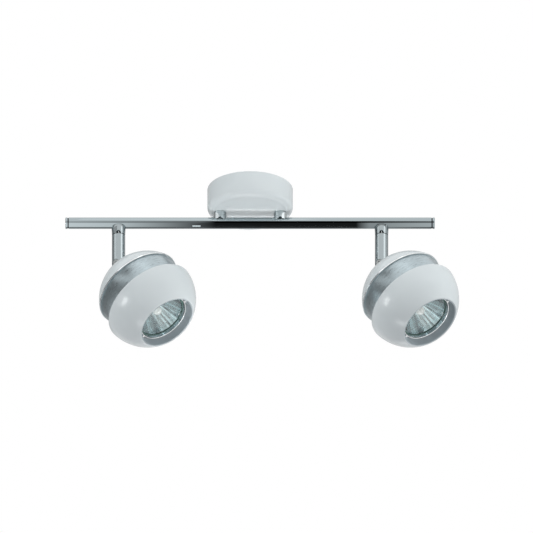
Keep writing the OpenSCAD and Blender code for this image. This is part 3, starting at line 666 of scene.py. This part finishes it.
@dataclass
class Finishes:
    """Every finish of the object, by the name of its slot in the record."""

    effects: Effects
    sheet: tuple[Finish, ...] = (
        Finish("white_paint", (0.66, 0.71, 0.72), 0.20, gloss_spread=0.03, cloud_depth=0.03,
               grain_scale=700.0, grain_height=0.003),
        Finish("chrome", (0.415, 0.475, 0.495), 0.05, metallic=1.0, gloss_spread=0.02, cloud_depth=0.03,
               grain_scale=1500.0, grain_height=0.0006),
        Finish("satin_chrome", (0.40, 0.45, 0.465), 0.14, metallic=1.0, gloss_spread=0.03,
               cloud_depth=0.03, grain_scale=1500.0, grain_height=0.001),
        # Chrome painted lighter for the posts: painted light that makes up for the shade the canopy throws
        # into their reflections.
        Finish("post_chrome_painted_light", (0.58, 0.63, 0.645), 0.16, metallic=1.0, gloss_spread=0.03,
               cloud_depth=0.03, grain_scale=1500.0, grain_height=0.001),
        Finish("turned_rim", (0.95, 0.97, 0.975), 0.15, metallic=1.0, gloss_spread=0.05,
               cloud_depth=0.1, grain_height=0.001, texture=Texture.STREAKED),
        Finish("bright_steel", (0.95, 0.96, 0.96), 0.14, metallic=1.0, gloss_spread=0.1,
               grain_height=0.001),
        Finish("brushed_aluminium", (0.455, 0.53, 0.56), 0.31, metallic=1.0, gloss_spread=0.3,
               cloud_depth=1.0, grain_height=0.05, texture=Texture.STREAKED,
               streak_run=(0.2, 0.2, 0.9)),
        Finish("grey_sleeve", (0.405, 0.46, 0.49), 0.38, metallic=0.2, gloss_spread=0.06, cloud_depth=0.10,
               grain_height=0.006, texture=Texture.STREAKED, streak_run=(0.02, 0.02, 1.2)),
        Finish("zinc_steel", (0.50, 0.52, 0.52), 0.38, metallic=1.0, gloss_spread=0.2, cloud_scale=90.0,
               cloud_depth=0.22, grain_scale=1200.0, grain_height=0.01),
        Finish("dark_steel", (0.06, 0.065, 0.07), 0.4, metallic=1.0, gloss_spread=0.1, cloud_depth=0.1),
        Finish("brass", (0.72, 0.52, 0.22), 0.25, metallic=1.0, gloss_spread=0.1, cloud_scale=120.0,
               cloud_depth=0.12, grain_height=0.004),
        Finish("ceramic", (0.80, 0.77, 0.70), 0.65, gloss_spread=0.1, cloud_scale=60.0, cloud_depth=0.06,
               grain_scale=1400.0, grain_height=0.02),
        Finish("terminal_plastic", (0.82, 0.82, 0.79), 0.42, gloss_spread=0.08, cloud_depth=0.03,
               grain_scale=1000.0, grain_height=0.01),
        Finish("reflector_mirror", (0.51, 0.59, 0.61), 0.10, metallic=1.0, gloss_spread=0.06,
               cloud_depth=0.65, grain_height=0.001, texture=Texture.FACETED),
        Finish("cover_glass", (0.95, 0.985, 0.975), 0.0, transmission=1.0, gloss_spread=0.01,
               cloud_depth=0.01, grain_scale=300.0, grain_height=0.0005, ior=1.45),
        Finish("glass_edge", (0.10, 0.19, 0.165), 0.12, gloss_spread=0.04, cloud_depth=0.3,
               grain_scale=300.0, grain_height=0.003),
        # The burner's glow is a painted highlight on the capsule; the lamp is not lit.
        Finish("burner_glass", (0.98, 0.99, 1.0), 0.16, transmission=0.25, gloss_spread=0.06, painted_glow=0.10,
               cloud_depth=0.01, grain_scale=300.0, grain_height=0.001, ior=1.45),
        Finish("filament", (0.45, 0.44, 0.43), 0.35, metallic=1.0, gloss_spread=0.1, grain_height=0.002),
    )
    made: dict[str, Material] = field(default_factory=dict)

    def __post_init__(self) -> None:
        """Build every material of the sheet."""
        for finish in self.sheet:
            self.made[finish.name] = finish.material(self.effects)

    def __getitem__(self, name: str) -> Material:
        """Return the material of a finish."""
        return self.made[name]


def hand_over_copies(finishes: Finishes, body: str, *nodes: str, finish: str = "") -> None:
    """Hand over smoothed copies of construction nodes.

    Args:
        finishes: The finishes of the object.
        body: Name of the body that carries them.
        nodes: Names of the nodes.
        finish: Their finish, where it isn't the one of their slot in the record.
    """
    for node in nodes:
        hand_over(smoothed_copy(node, finishes[finish or SLOTS[node]]), body, SLOTS[node], node)


# Sub-assemblies


@dataclass
class Canopy:
    """The painted cup at the ceiling, and what is fixed inside it."""

    finishes: Finishes
    radius: float = 42.745
    height: float = 25.7
    fillet: float = 6.5
    wall: float = 1.2
    lip: float = 0.25
    screw_hole_r: float = 2.05
    screw_drop: float = 7.0

    def cup(self) -> Object:
        """Turn the cup and drill it for its side screws.

        Returns:
            The new piece.
        """
        edge_r = self.radius - self.fillet
        edge_z = self.fillet - self.height
        shape = Shape().start(self.radius, 0.0).line((self.radius, edge_z))
        shape.arc(edge_r, edge_z, -90.0, 16).line((0.0, -self.height))
        shape.start(0.0, self.wall - self.height).line((edge_r, self.wall - self.height))
        shape.arc(edge_r, edge_z, 90.0, 12).line((self.radius - self.wall, 0.0), (self.radius, 0.0))
        shape.turn(WIDE_STEPS).soften(self.lip)
        cup = shape.to_object("canopy_cup", HERE, [self.finishes["white_paint"]])
        across = Matrix.Translation((0.0, 0.0, -self.screw_drop)) @ Matrix.Rotation(math.pi / 2, 4, "Y")
        carve(cup, Shape().rod(self.screw_hole_r, 4 * self.radius, across), HERE)
        return cup

    def build(self) -> None:
        """Make the cup, its side screws, the bracket and the terminals."""
        hand_over(self.cup(), "base", "white_paint", "canopy")
        hand_over_copies(self.finishes, "base", "canopy_screws", "mounting_bracket", "terminal_block",
                         "terminal_screws", "earth_screw", "post_nuts", "post_washers", "post_nipples")


@dataclass
class Bar:
    """The chrome bar with its end caps, posts, collars and swivel nipples."""

    finishes: Finishes
    axis_z: float = -37.05
    radius: float = 5.75
    wall: float = 1.0
    length: float = 369.5
    tube_edge: float = 0.12
    cap_head: float = 2.1
    cap_seam: float = 1.3
    cap_seam_depth: float = 0.45
    cap_seam_margin: float = 0.1
    cap_plug: float = 9.0
    cap_edge: float = 0.735
    cap_softening: float = 0.08
    fit_gap: float = 0.05

    @property
    def cap_foot(self) -> float:
        """Return the distance from the bar's middle to the foot of a cap's seam."""
        return self.length / 2 - self.cap_head - self.cap_seam

    def along(self, side: Side) -> Matrix:
        """Return a frame on the bar's axis, with its Z towards one end of the bar."""
        turn = Matrix.Rotation(side.sign * math.pi / 2, 4, "Y")
        return Matrix.Translation((0.0, 0.0, self.axis_z)) @ turn

    def tube(self) -> Object:
        """Turn the tube.

        Returns:
            The new piece.
        """
        half, inner = self.cap_foot, self.radius - self.wall
        shape = Shape().start(self.radius, -half).line((self.radius, half), (inner, half), (inner, -half))
        shape.line((self.radius, -half)).turn().soften(self.tube_edge)
        return shape.to_object("bar_tube_polished", self.along(Side.RIGHT), [self.finishes["chrome"]])

    def cap(self, side: Side) -> Object:
        """Turn one end cap, with its plug, seam groove and round-edged head; the groove is painted
        near-black as painted shade.

        Args:
            side: The end of the bar.

        Returns:
            The new piece.
        """
        foot = self.cap_foot
        seam = foot + self.cap_seam
        head = seam + self.cap_head
        plug_r = self.radius - self.wall - self.fit_gap
        neck_r = self.radius - self.cap_seam_depth
        shape = Shape().start(0.0, foot - self.cap_plug)
        shape.line((plug_r, foot - self.cap_plug), (plug_r, foot), (neck_r, foot), (neck_r, seam))
        shape.line((self.radius, seam), (self.radius, head - self.cap_edge))
        shape.arc(self.radius - self.cap_edge, head - self.cap_edge, 90.0, 6).line((0.0, head))
        shape.turn().soften(self.cap_softening)
        # The seam groove gets the near-black dark_steel finish: painted shade in the joint between cap and
        # tube.
        shape.paint(1, Measure.HEIGHT, foot + self.cap_seam_margin, seam - self.cap_seam_margin)
        return shape.to_object(side.node("end_cap") + "_polished", self.along(side),
                               [self.finishes["chrome"], self.finishes["dark_steel"]])

    def build(self) -> None:
        """Make the bar and what is fixed to it."""
        hand_over(self.tube(), "base", "chrome", "bar_tube")
        for side in Side:
            hand_over(self.cap(side), "base", "chrome", side.node("end_cap"))
            # The posts take the chrome painted lighter against the canopy's shade.
            for name, finish in (("post", "post_chrome_painted_light"), ("stem_collar", "satin_chrome")):
                hand_over_copies(self.finishes, "base", side.node(name), finish=finish)
        hand_over_copies(self.finishes, "base", "swivel_nipples", "swivel_nuts")


@dataclass
class Stem:
    """One stem with the knuckle that tilts the head."""

    finishes: Finishes
    side: Side

    def build(self) -> None:
        """Make the stem, its peg and the pivot screw."""
        for name, finish in (("stem", "satin_chrome"), ("pivot_screw", "zinc_steel"),
                             ("stop_peg", "zinc_steel")):
            hand_over_copies(self.finishes, self.side.node("stem"), self.side.node(name), finish=finish)


@dataclass
class OnHead:
    """Something that one head carries."""

    finishes: Finishes
    side: Side
    aim: Aim

    def placed(self, shape: Shape, name: str, end: str, *finishes: str, at: Matrix = HERE,
               flat: bool = False) -> Object:
        """Place a shape in the frame of this side's ball.

        Args:
            shape: The shape.
            name: Name of the piece, without its side.
            end: What follows the side in its name.
            finishes: Finish of each material slot.
            at: Its own frame in that of the ball.
            flat: Whether its facets stay flat.

        Returns:
            The new piece.
        """
        return shape.to_object(self.side.node(name) + end, self.aim.head(self.side) @ at,
                               [self.finishes[finish] for finish in finishes], flat)

    def hand_over_all(self, pieces: Iterable[tuple[Object, str, str]], *copies: str) -> None:
        """Hand over pieces and copies of nodes.

        Args:
            pieces: Each piece with its slot and its node, which has no side in its name.
            copies: Nodes of which copies are handed over.
        """
        body = self.side.node("head")
        for piece, slot, name in pieces:
            hand_over(piece, body, slot, self.side.node(name))
        hand_over_copies(self.finishes, body, *(self.side.node(name) for name in copies))


@dataclass
class BallHead(OnHead):
    """The ball: dome, drum, front shell, sleeve and ring."""

    ball_r: float = 48.598
    wall: float = 1.2
    dome_rim_z: float = -17.52
    rim_band_z: float = -18.6
    rim_gap: float = 0.03
    rim_step: float = 0.15
    rim_margin: float = 0.01
    shell_rim_z: float = 4.62
    mouth_rim_z: float = 37.06
    drum_r: float = 43.798
    drum_end: float = 18.07
    drum_wall: float = 1.2
    drum_flange: float = 8.0
    drum_edge: float = 0.3
    tongue_slot: Pair = (8.2, 3.6)
    sleeve_wall: float = 0.8
    sleeve_edge: float = 0.15
    throat_r: float = 27.2
    lip_r: float = 29.05
    lip_z: float = 37.36
    lip_l: float = 2.0
    taper_z: float = 31.16
    flange_z: float = 18.12
    flange_r: float = 41.96
    ring_z: float = 30.16
    ring_turn: float = 4.4
    ring_gap: float = 0.5
    ring_lap: float = 0.5
    ring_lip: float = 0.45
    bead_r: float = 0.55
    bead_foot: Pair = (0.2, -0.5)
    bead_sweep: float = 250.0
    lug_r: float = 27.8
    lug_size: Pair = (2.3, 1.8)
    lug_gap: float = 0.2
    lug_end: float = 0.3
    lug_lift: float = 1.1
    lug_turns: Pair = (0.0, 180.0)
    lamp_r: float = 25.35
    face_z: float = 27.41

    def rear_dome(self) -> Object:
        """Turn the rear dome with the bare metal land at its rim and cut the slot for the tongue.

        Returns:
            The new piece.
        """
        outer, inner = self.ball_r, self.ball_r - self.wall
        band = math.degrees(math.asin(self.rim_band_z / outer))
        land_r = outer * math.cos(math.radians(band)) - self.rim_step
        foot = math.degrees(math.asin((self.dome_rim_z - self.wall) / inner))
        shape = Shape().start(0.0, -outer).arc(0.0, 0.0, 90.0 + band, 36)
        shape.line((land_r, self.rim_band_z), (land_r, self.dome_rim_z))
        shape.line((self.drum_r + self.rim_gap, self.dome_rim_z))
        shape.line((inner * math.cos(math.radians(foot)), inner * math.sin(math.radians(foot))))
        shape.arc(0.0, 0.0, -90.0 - foot, 36).turn(WIDE_STEPS)
        shape.paint(1, Measure.HEIGHT, self.rim_band_z + self.rim_margin, self.dome_rim_z - self.rim_margin)
        dome = self.placed(shape, "rear_dome", "_painted", "white_paint", "turned_rim")
        pole = Matrix.Translation((0.0, 0.0, -self.ball_r))
        carve(dome, Shape().block((*self.tongue_slot, 4 * self.wall), pole), self.aim.head(self.side))
        return dome

    def front_shell(self) -> Object:
        """Turn the front shell.

        Returns:
            The new piece.
        """
        outer, middle = self.ball_r, self.ball_r - self.wall / 2
        low = math.asin(self.shell_rim_z / middle)
        high = math.asin(self.mouth_rim_z / middle)
        sweep = math.degrees(high - low)
        shape = Shape().start(outer * math.cos(low), outer * math.sin(low)).arc(0.0, 0.0, sweep, 28)
        shape.arc(middle * math.cos(high), middle * math.sin(high), 180.0, 6).arc(0.0, 0.0, -sweep, 28)
        shape.arc(middle * math.cos(low), middle * math.sin(low), 180.0, 6).turn(WIDE_STEPS)
        return self.placed(shape, "front_shell", "_painted", "white_paint")

    def drum(self) -> Object:
        """Turn the brushed drum with its two flanges.

        Returns:
            The new piece.
        """
        outer, inner, end = self.drum_r, self.drum_r - self.drum_wall, self.drum_end
        eye, web = inner - self.drum_flange, end - self.drum_wall
        shape = Shape().start(outer, -end).line((outer, end), (eye, end), (eye, web), (inner, web),
                                                (inner, -web), (eye, -web), (eye, -end), (outer, -end))
        shape.turn(WIDE_STEPS).soften(self.drum_edge)
        return self.placed(shape, "drum", "_brushed", "brushed_aluminium")

    def lug_place(self, turn: float, reach: float) -> Matrix:
        """Return the frame of a lug at an angle and a radius."""
        spin = Matrix.Rotation(math.radians(turn - self.ring_turn), 4, "Z")
        return spin @ Matrix.Translation((reach, 0.0, self.ring_z + self.lug_lift))

    def sleeve(self) -> Object:
        """Turn the sleeve inside the mouth and cut the places of the ring's lugs.

        Returns:
            The new piece.
        """
        t = self.sleeve_wall
        front = self.lip_z - self.lip_l
        shape = Shape().start(self.lip_r, self.lip_z)
        shape.line((self.lip_r, front), (self.throat_r, self.taper_z), (self.throat_r, self.flange_z))
        shape.line((self.flange_r, self.flange_z), (self.flange_r, self.flange_z + t))
        shape.line((self.throat_r + t, self.flange_z + t), (self.throat_r + t, self.taper_z))
        shape.line((self.lip_r + t, front), (self.lip_r + t, self.lip_z), (self.lip_r, self.lip_z))
        shape.turn(WIDE_STEPS).soften(self.sleeve_edge)
        sleeve = self.placed(shape, "inner_sleeve", "_satin", "grey_sleeve")
        lugs = Shape()
        size = (2 * t, self.lug_size[0] + self.lug_gap, self.lug_size[1] + self.lug_gap)
        for turn in self.lug_turns:
            lugs.block(size, self.lug_place(turn, self.lug_r))
        carve(sleeve, lugs, self.aim.head(self.side))
        return sleeve

    def ring(self) -> Object:
        """Turn the sprung ring with its sloping lip and add its two lugs.

        Returns:
            The new piece.
        """
        centre = self.throat_r - self.ring_gap - self.bead_r
        lip = self.lamp_r - self.ring_lap
        shape = Shape().start(lip, self.face_z).line((lip + self.ring_lip, self.face_z))
        shape.line((centre + self.bead_foot[0], self.ring_z + self.bead_foot[1]))
        shape.arc(centre, self.ring_z, self.bead_sweep, 12).line((lip, self.face_z)).turn(WIDE_STEPS)
        length = self.lug_r + self.lug_end - centre
        for turn in self.lug_turns:
            shape.block((length, *self.lug_size), self.lug_place(turn, centre + length / 2))
        shape.paint(1, Measure.HEIGHT, self.ring_z - 1.5 * self.bead_r, self.lip_z)
        return self.placed(shape, "retaining_ring", "_polished", "chrome", "bright_steel")

    def build(self) -> None:
        """Make the ball and its inner steel parts."""
        self.hand_over_all(((self.rear_dome(), "white_paint", "rear_dome"),
                            (self.drum(), "brushed_aluminium", "drum"),
                            (self.front_shell(), "white_paint", "front_shell"),
                            (self.sleeve(), "grey_sleeve", "inner_sleeve"),
                            (self.ring(), "chrome", "retaining_ring")),
                           "tilt_tongue", "holder_bracket", "sleeve_screws", "bracket_screws", "hub_screws")


@dataclass
class Lamp(OnHead):
    """The reflector lamp in one head, and its holder."""

    face_z: float = 27.36
    radius: float = 25.35
    glass_t: float = 1.8
    glass_edge: float = 0.4
    glass_gap: float = 0.05
    clear_r: float = 24.0
    rim_r: float = 25.1
    rim_t: float = 2.0
    bowl_r: float = 23.6
    throat_r: float = 5.2
    neck_r: float = 11.0
    back_z: float = -31.45
    neck_l: float = 3.5
    wall: float = 1.5
    columns: int = 64
    rows: int = 8
    fluting: float = 0.006
    unevenness: float = 0.14
    seed: int = 5
    burner_r: float = 4.4
    burner_l: float = 26.0
    burner_wall: float = 0.7
    burner_dome: float = 78.0
    burner_tip: tuple[Pair, ...] = ((0.9, 0.2), (0.4, 1.3), (0.0, 1.4))
    filament_place: Pair = (-2.6, 18.0)
    filament_coil: Triple = (0.55, 0.1, 0.37)
    filament_turns: int = 14

    def behind_face(self, x: float, z: float) -> Matrix:
        """Return the frame of a place that is measured from the middle of the lamp's face."""
        return Matrix.Translation((0.0, 0.0, self.face_z)) @ Matrix.Translation((x, 0.0, z))

    def bowl(self) -> Object:
        """Turn the faceted bowl.

        Returns:
            The new piece.
        """
        front = -self.glass_t - self.glass_gap
        foot = self.back_z + self.neck_l
        back = foot + self.wall
        shape = Shape().start(self.throat_r, self.back_z)
        for row in range(self.rows + 1):
            r = self.throat_r + (self.bowl_r - self.throat_r) * row / self.rows
            shape.line((r, back + (front - back) * (r / self.bowl_r) ** 2))
        shape.line((self.rim_r, front))
        for row in range(self.rows, -1, -1):
            r = self.neck_r + (self.rim_r - self.neck_r) * row / self.rows
            rise = (r ** 2 - self.neck_r ** 2) / (self.rim_r ** 2 - self.neck_r ** 2)
            shape.line((r, foot + (front - self.rim_t - foot) * rise))
        shape.line((self.neck_r, self.back_z), (self.throat_r, self.back_z)).turn(self.columns)
        shape.flute(self.columns, self.fluting, self.unevenness, self.seed)
        return self.placed(shape, "reflector", "_mirror", "reflector_mirror", at=self.behind_face(0.0, 0.0),
                           flat=True)

    def glass(self) -> Object:
        """Turn the cover glass, whose edge shows green.

        Returns:
            The new piece.
        """
        r, edge, back = self.radius, self.glass_edge, -self.glass_t
        shape = Shape().start(0.0, 0.0).line((self.clear_r, 0.0), (r - edge, 0.0), (r, -edge), (r, back))
        shape.line((self.clear_r, back), (0.0, back)).turn(WIDE_STEPS)
        shape.paint(1, Measure.RADIUS, self.clear_r, r)
        return self.placed(shape, "cover_glass", "_clear", "cover_glass", "glass_edge",
                           at=self.behind_face(0.0, 0.0))

    def capsule(self) -> Object:
        """Turn the hollow capsule with its round end and sealed tip.

        Returns:
            The new piece.
        """
        r, top = self.burner_r, self.burner_l - self.burner_r
        thin = r - self.burner_wall
        shape = Shape().start(r, 0.0).line((r, top)).arc(0.0, top, self.burner_dome, 10)
        shape.line(*((width, self.burner_l + rise) for width, rise in self.burner_tip))
        shape.start(0.0, top + thin).arc(0.0, top, -90.0, 10).line((thin, 0.0), (r, 0.0)).turn(ROD_STEPS)
        return self.placed(shape, "burner", "_clear", "burner_glass", at=self.behind_face(0.0, self.back_z))

    def filament(self) -> Object:
        """Wind the filament across the capsule.

        Returns:
            The new piece.
        """
        start, rise = self.filament_place
        across = self.behind_face(start, self.back_z + rise) @ Matrix.Rotation(math.pi / 2, 4, "Y")
        shape = Shape().coil(*self.filament_coil, self.filament_turns, HERE)
        return self.placed(shape, "filament", "", "filament", at=across)

    def build(self) -> None:
        """Make the lamp and what holds it."""
        self.hand_over_all(((self.bowl(), "reflector_mirror", "reflector"),
                            (self.glass(), "cover_glass", "cover_glass"),
                            (self.capsule(), "burner_glass", "burner")))
        hand_over(self.filament(), self.side.node("head"), "zinc_steel")
        self.hand_over_all((), "lamp_base", "lamp_holder", "lamp_pins", "holder_screws")


# Studio


@dataclass(frozen=True)
class Softbox:
    """A rectangular lamp.

    Its place, size and aim are in metres, its roll and spread in degrees. Polished surfaces mirror it
    where it is shown, and matt ones are lit by it where it lights.
    """

    name: str
    place: Triple
    size: Pair
    watts: float
    aim: Triple = (0.0, 0.0, -0.08)
    roll: float = 0.0
    spread: float = 180.0
    shown: bool = True
    lights: bool = True

    def hang(self) -> None:
        """Hang the lamp, turned towards its aim."""
        data = bpy.data.lights.new(self.name, "AREA")
        data.shape = "RECTANGLE"
        data.size, data.size_y = self.size
        data.energy = self.watts
        data.spread = math.radians(self.spread)
        light = into_scene(self.name, data)
        light.location = self.place
        towards = (Vector(self.aim) - Vector(self.place)).to_track_quat("-Z", "Y").to_matrix().to_4x4()
        light.rotation_euler = (towards @ Matrix.Rotation(math.radians(self.roll), 4, "Z")).to_euler()
        light.visible_camera = False
        light.visible_glossy = self.shown
        light.visible_diffuse = self.lights


@dataclass(frozen=True)
class Card:
    """A curved card that only polished surfaces show.

    It reaches from one angle to another, in degrees, and a wall from one height to another, in
    millimetres. The ramp gives the grey at places along X, in metres.
    """

    name: str
    first: float
    last: float
    ramp: Ramp
    low: float = 0.0
    high: float = 0.0

    def material(self) -> Material:
        """Make a glow that changes along X and shows on the front alone.

        Returns:
            The new material.
        """
        made = bpy.data.materials.new(self.name)
        made.use_nodes = True
        tree = made.node_tree
        tree.nodes.clear()
        place = tree.nodes.new("ShaderNodeTexCoord").outputs["Object"]
        split = add_node(tree, "SeparateXYZ", {"Vector": place})
        low, high = self.ramp[0][0], self.ramp[-1][0]
        along = add_node(tree, "MapRange", {"Value": split.outputs["X"], "From Min": low, "From Max": high})
        grey = add_node(tree, "ValToRGB", {"Fac": along.outputs["Result"]})
        stops = grey.color_ramp.elements
        for index, (x, tone) in enumerate(self.ramp):
            where = (x - low) / (high - low)
            stop = stops[index] if index < 2 else stops.new(where)
            stop.position = where
            stop.color = (tone, tone, tone, 1.0)
        glow = add_node(tree, "Emission", {"Color": grey.outputs["Color"]})
        add_node(tree, "OutputMaterial", {"Surface": one_sided(tree, glow.outputs["Emission"])})
        return made

    def hang(self, shape: Shape, place: Matrix) -> None:
        """Hang the card.

        Args:
            shape: Its mesh, in millimetres.
            place: Its frame, in millimetres.
        """
        card = shape.to_object(self.name, place, [self.material()])
        card.visible_camera = False
        card.visible_diffuse = False
        card.visible_shadow = False
        card.visible_transmission = False


@dataclass
class Studio:
    """Camera, world, floor, lamps and the cards that polished metal shows."""

    elevation: float = -26.3
    distance: float = 0.9
    view_height: float = 0.533
    view_depth: Pair = (0.05, 20.0)
    target: Triple = (0.0164, 0.0339, -0.0686)
    ambient: float = 0.61
    ambient_colour: Triple = (0.96, 0.98, 1.0)
    floor_z: float = -1.90
    floor_reach: float = 6.0
    floor_colour: Triple = (0.58, 0.58, 0.59)
    floor_roughness: float = 0.9
    floor_glow: float = 0.8
    bar_z: float = -37.05
    trough_r: float = 9.0
    trough_l: float = 370.0
    trough: tuple[Card, ...] = (
        Card("dark_line", -4.0, 22.0, ((-0.185, 0.70), (-0.05, 0.20), (-0.035, 0.0), (0.107, 0.0),
                                       (0.185, 0.25))),
        Card("dark_card", 22.0, 85.0, ((-0.185, 1.20), (-0.13, 1.0), (-0.05, 0.12), (-0.035, 0.02),
                                       (0.107, 0.02), (0.12, 0.50), (0.185, 0.80))),
        Card("dark_foot", 85.0, 130.0, ((-0.185, 0.35), (-0.05, 0.20), (-0.035, 0.08), (0.107, 0.08),
                                        (0.12, 0.45), (0.185, 0.20))),
    )
    wall_r: float = 1500.0
    walls: tuple[Card, ...] = (
        Card("dim_wall", 0.0, 115.0, ((-0.7, 0.45), (0.0, 0.55), (1.5, 0.55)), 150.0, 1600.0),
        Card("side_wall", 115.0, 182.0, ((-1.5, 0.35), (-1.1, 0.32), (-0.6, 0.55)), 450.0, 1600.0),
        Card("dark_wall", 115.0, 240.0, ((-1.5, 0.17), (-1.2, 0.18), (-0.6, 0.30)), -150.0, 510.0),
        Card("high_wall", 182.0, 224.0, ((-1.5, 0.12), (-1.25, 0.12), (-1.08, 0.3)), 840.0, 1700.0),
    )
    lamps: tuple[Softbox, ...] = (
        Softbox("key", (0.8, -2.0, 1.5), (1.6, 1.6), 25.5, shown=False),
        Softbox("fill", (2.0, 0.1, -0.5), (2.0, 1.6), 17.0, shown=False),
        Softbox("left_wash", (-2.3, -0.7, -0.3), (1.2, 1.2), 14.0, shown=False),
        Softbox("canopy_glow", (0.0, -0.02, -0.30), (0.15, 0.10), 0.045, (0.0, 0.0, 0.0), spread=60.0,
                shown=False),
        Softbox("left_box", (-2.26, -1.46, 1.25), (1.1, 0.7), 0.7),
        Softbox("top_box", (-0.26, -1.20, 2.30), (1.2, 0.5), 1.0, lights=False),
        Softbox("right_box", (2.09, -1.69, 1.25), (1.1, 0.7), 2.1),
        Softbox("left_strip", (-2.50, -1.33, -1.04), (0.50, 1.0), 12.0, roll=-65.0, lights=False),
        Softbox("table", (0.0, -0.05, -1.7), (1.4, 0.30), 4.5, lights=False),
        Softbox("back_glow", (0.0, 1.88, -0.95), (0.5, 0.5), 1.0, (0.0, 0.0, -0.03), lights=False),
        Softbox("bar_glint", (-0.054, -0.0034, -0.0450), (0.008, 0.002), 0.0001, (-0.054, 0.0, -0.03705),
                lights=False),
    )

    def camera(self) -> None:
        """Set up the camera at the photograph's angle, without perspective."""
        rise = math.radians(self.elevation)
        back = Vector((0.0, -math.cos(rise), math.sin(rise)))
        data = bpy.data.cameras.new("camera")
        data.type = "ORTHO"
        data.ortho_scale = self.view_height
        data.clip_start, data.clip_end = self.view_depth
        camera = into_scene("camera", data)
        camera.location = Vector(self.target) + back * self.distance
        camera.rotation_euler = (-back).to_track_quat("-Z", "Y").to_euler()
        bpy.context.scene.camera = camera

    def world(self) -> None:
        """Light everything evenly, and show white to the camera, mirrors and glass."""
        world = bpy.data.worlds.new("studio")
        world.use_nodes = True
        tree = world.node_tree
        tree.nodes.clear()
        room, white = (add_node(tree, "Background", {"Color": colour, "Strength": strength}).outputs[0]
                       for colour, strength in (((*self.ambient_colour, 1.0), self.ambient), (WHITE, 1.0)))
        add_node(tree, "OutputWorld", {"Surface": mixed(tree, seen_directly(tree), room, white)})
        bpy.context.scene.world = world

    def floor(self) -> None:
        """Lay a pale floor far below, which hides nothing that is seen from under it."""
        shape = bmesh.new()
        bmesh.ops.create_grid(shape, x_segments=1, y_segments=1, size=self.floor_reach,
                              matrix=Matrix.Translation((0.0, 0.0, self.floor_z)))
        mesh = bpy.data.meshes.new("floor")
        shape.to_mesh(mesh)
        shape.free()
        made = bpy.data.materials.new("floor_pale")
        made.use_nodes = True
        tree = made.node_tree
        shader = fill(tree, tree.nodes["Principled BSDF"], {
            "Base Color": (*self.floor_colour, 1.0), "Roughness": self.floor_roughness})
        glow = add_node(tree, "Emission", {"Strength": 1.0})
        share = reckon(tree, "MULTIPLY", seen_directly(tree), self.floor_glow)
        lit = mixed(tree, share, shader.outputs["BSDF"], glow.outputs["Emission"])
        fill(tree, tree.nodes["Material Output"], {"Surface": one_sided(tree, lit)})
        mesh.materials.append(made)
        into_scene("floor", mesh)

    def cards(self) -> None:
        """Hang the dark cards below the bar and the dim walls behind and beside the object."""
        along = Matrix.Translation((0.0, 0.0, self.bar_z)) @ Matrix.Rotation(-math.pi / 2, 4, "Z")
        for card in self.trough:
            first = math.radians(card.first)
            shape = Shape().start(self.trough_r * math.cos(first), -self.trough_r * math.sin(first))
            card.hang(shape.arc(0.0, 0.0, card.first - card.last, 12).sweep(self.trough_l), along)
        for card in self.walls:
            shape = Shape().start(self.wall_r, card.low).line((self.wall_r, card.high))
            turn = Matrix.Rotation(math.radians(card.first), 4, "Z")
            card.hang(shape.turn(48, card.last - card.first).flip(), turn)

    def build(self) -> None:
        """Set the whole studio up."""
        self.camera()
        self.world()
        self.floor()
        for lamp in self.lamps:
            lamp.hang()
        self.cards()


def dress_remaining(finishes: Finishes) -> None:
    """Give every construction node its finish, by its slot in the record.

    Args:
        finishes: The finishes of the object.
    """
    for node, name in SLOTS.items():
        for slot in frame["nodes"][node].material_slots:
            slot.link = "OBJECT"
            slot.material = finishes[name]


def main() -> None:
    """Build the studio and the object."""
    logging.basicConfig(level=logging.INFO, format="%(message)s")
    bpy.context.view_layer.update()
    Studio().build()
    bpy.context.scene.view_settings.view_transform = "Standard"
    finishes = Finishes(Effects())
    dress_remaining(finishes)
    aim = Aim()
    Canopy(finishes).build()
    Bar(finishes).build()
    for side in Side:
        Stem(finishes, side).build()
        BallHead(finishes, side, aim).build()
        Lamp(finishes, side, aim).build()


if __name__ == "__main__":
    main()
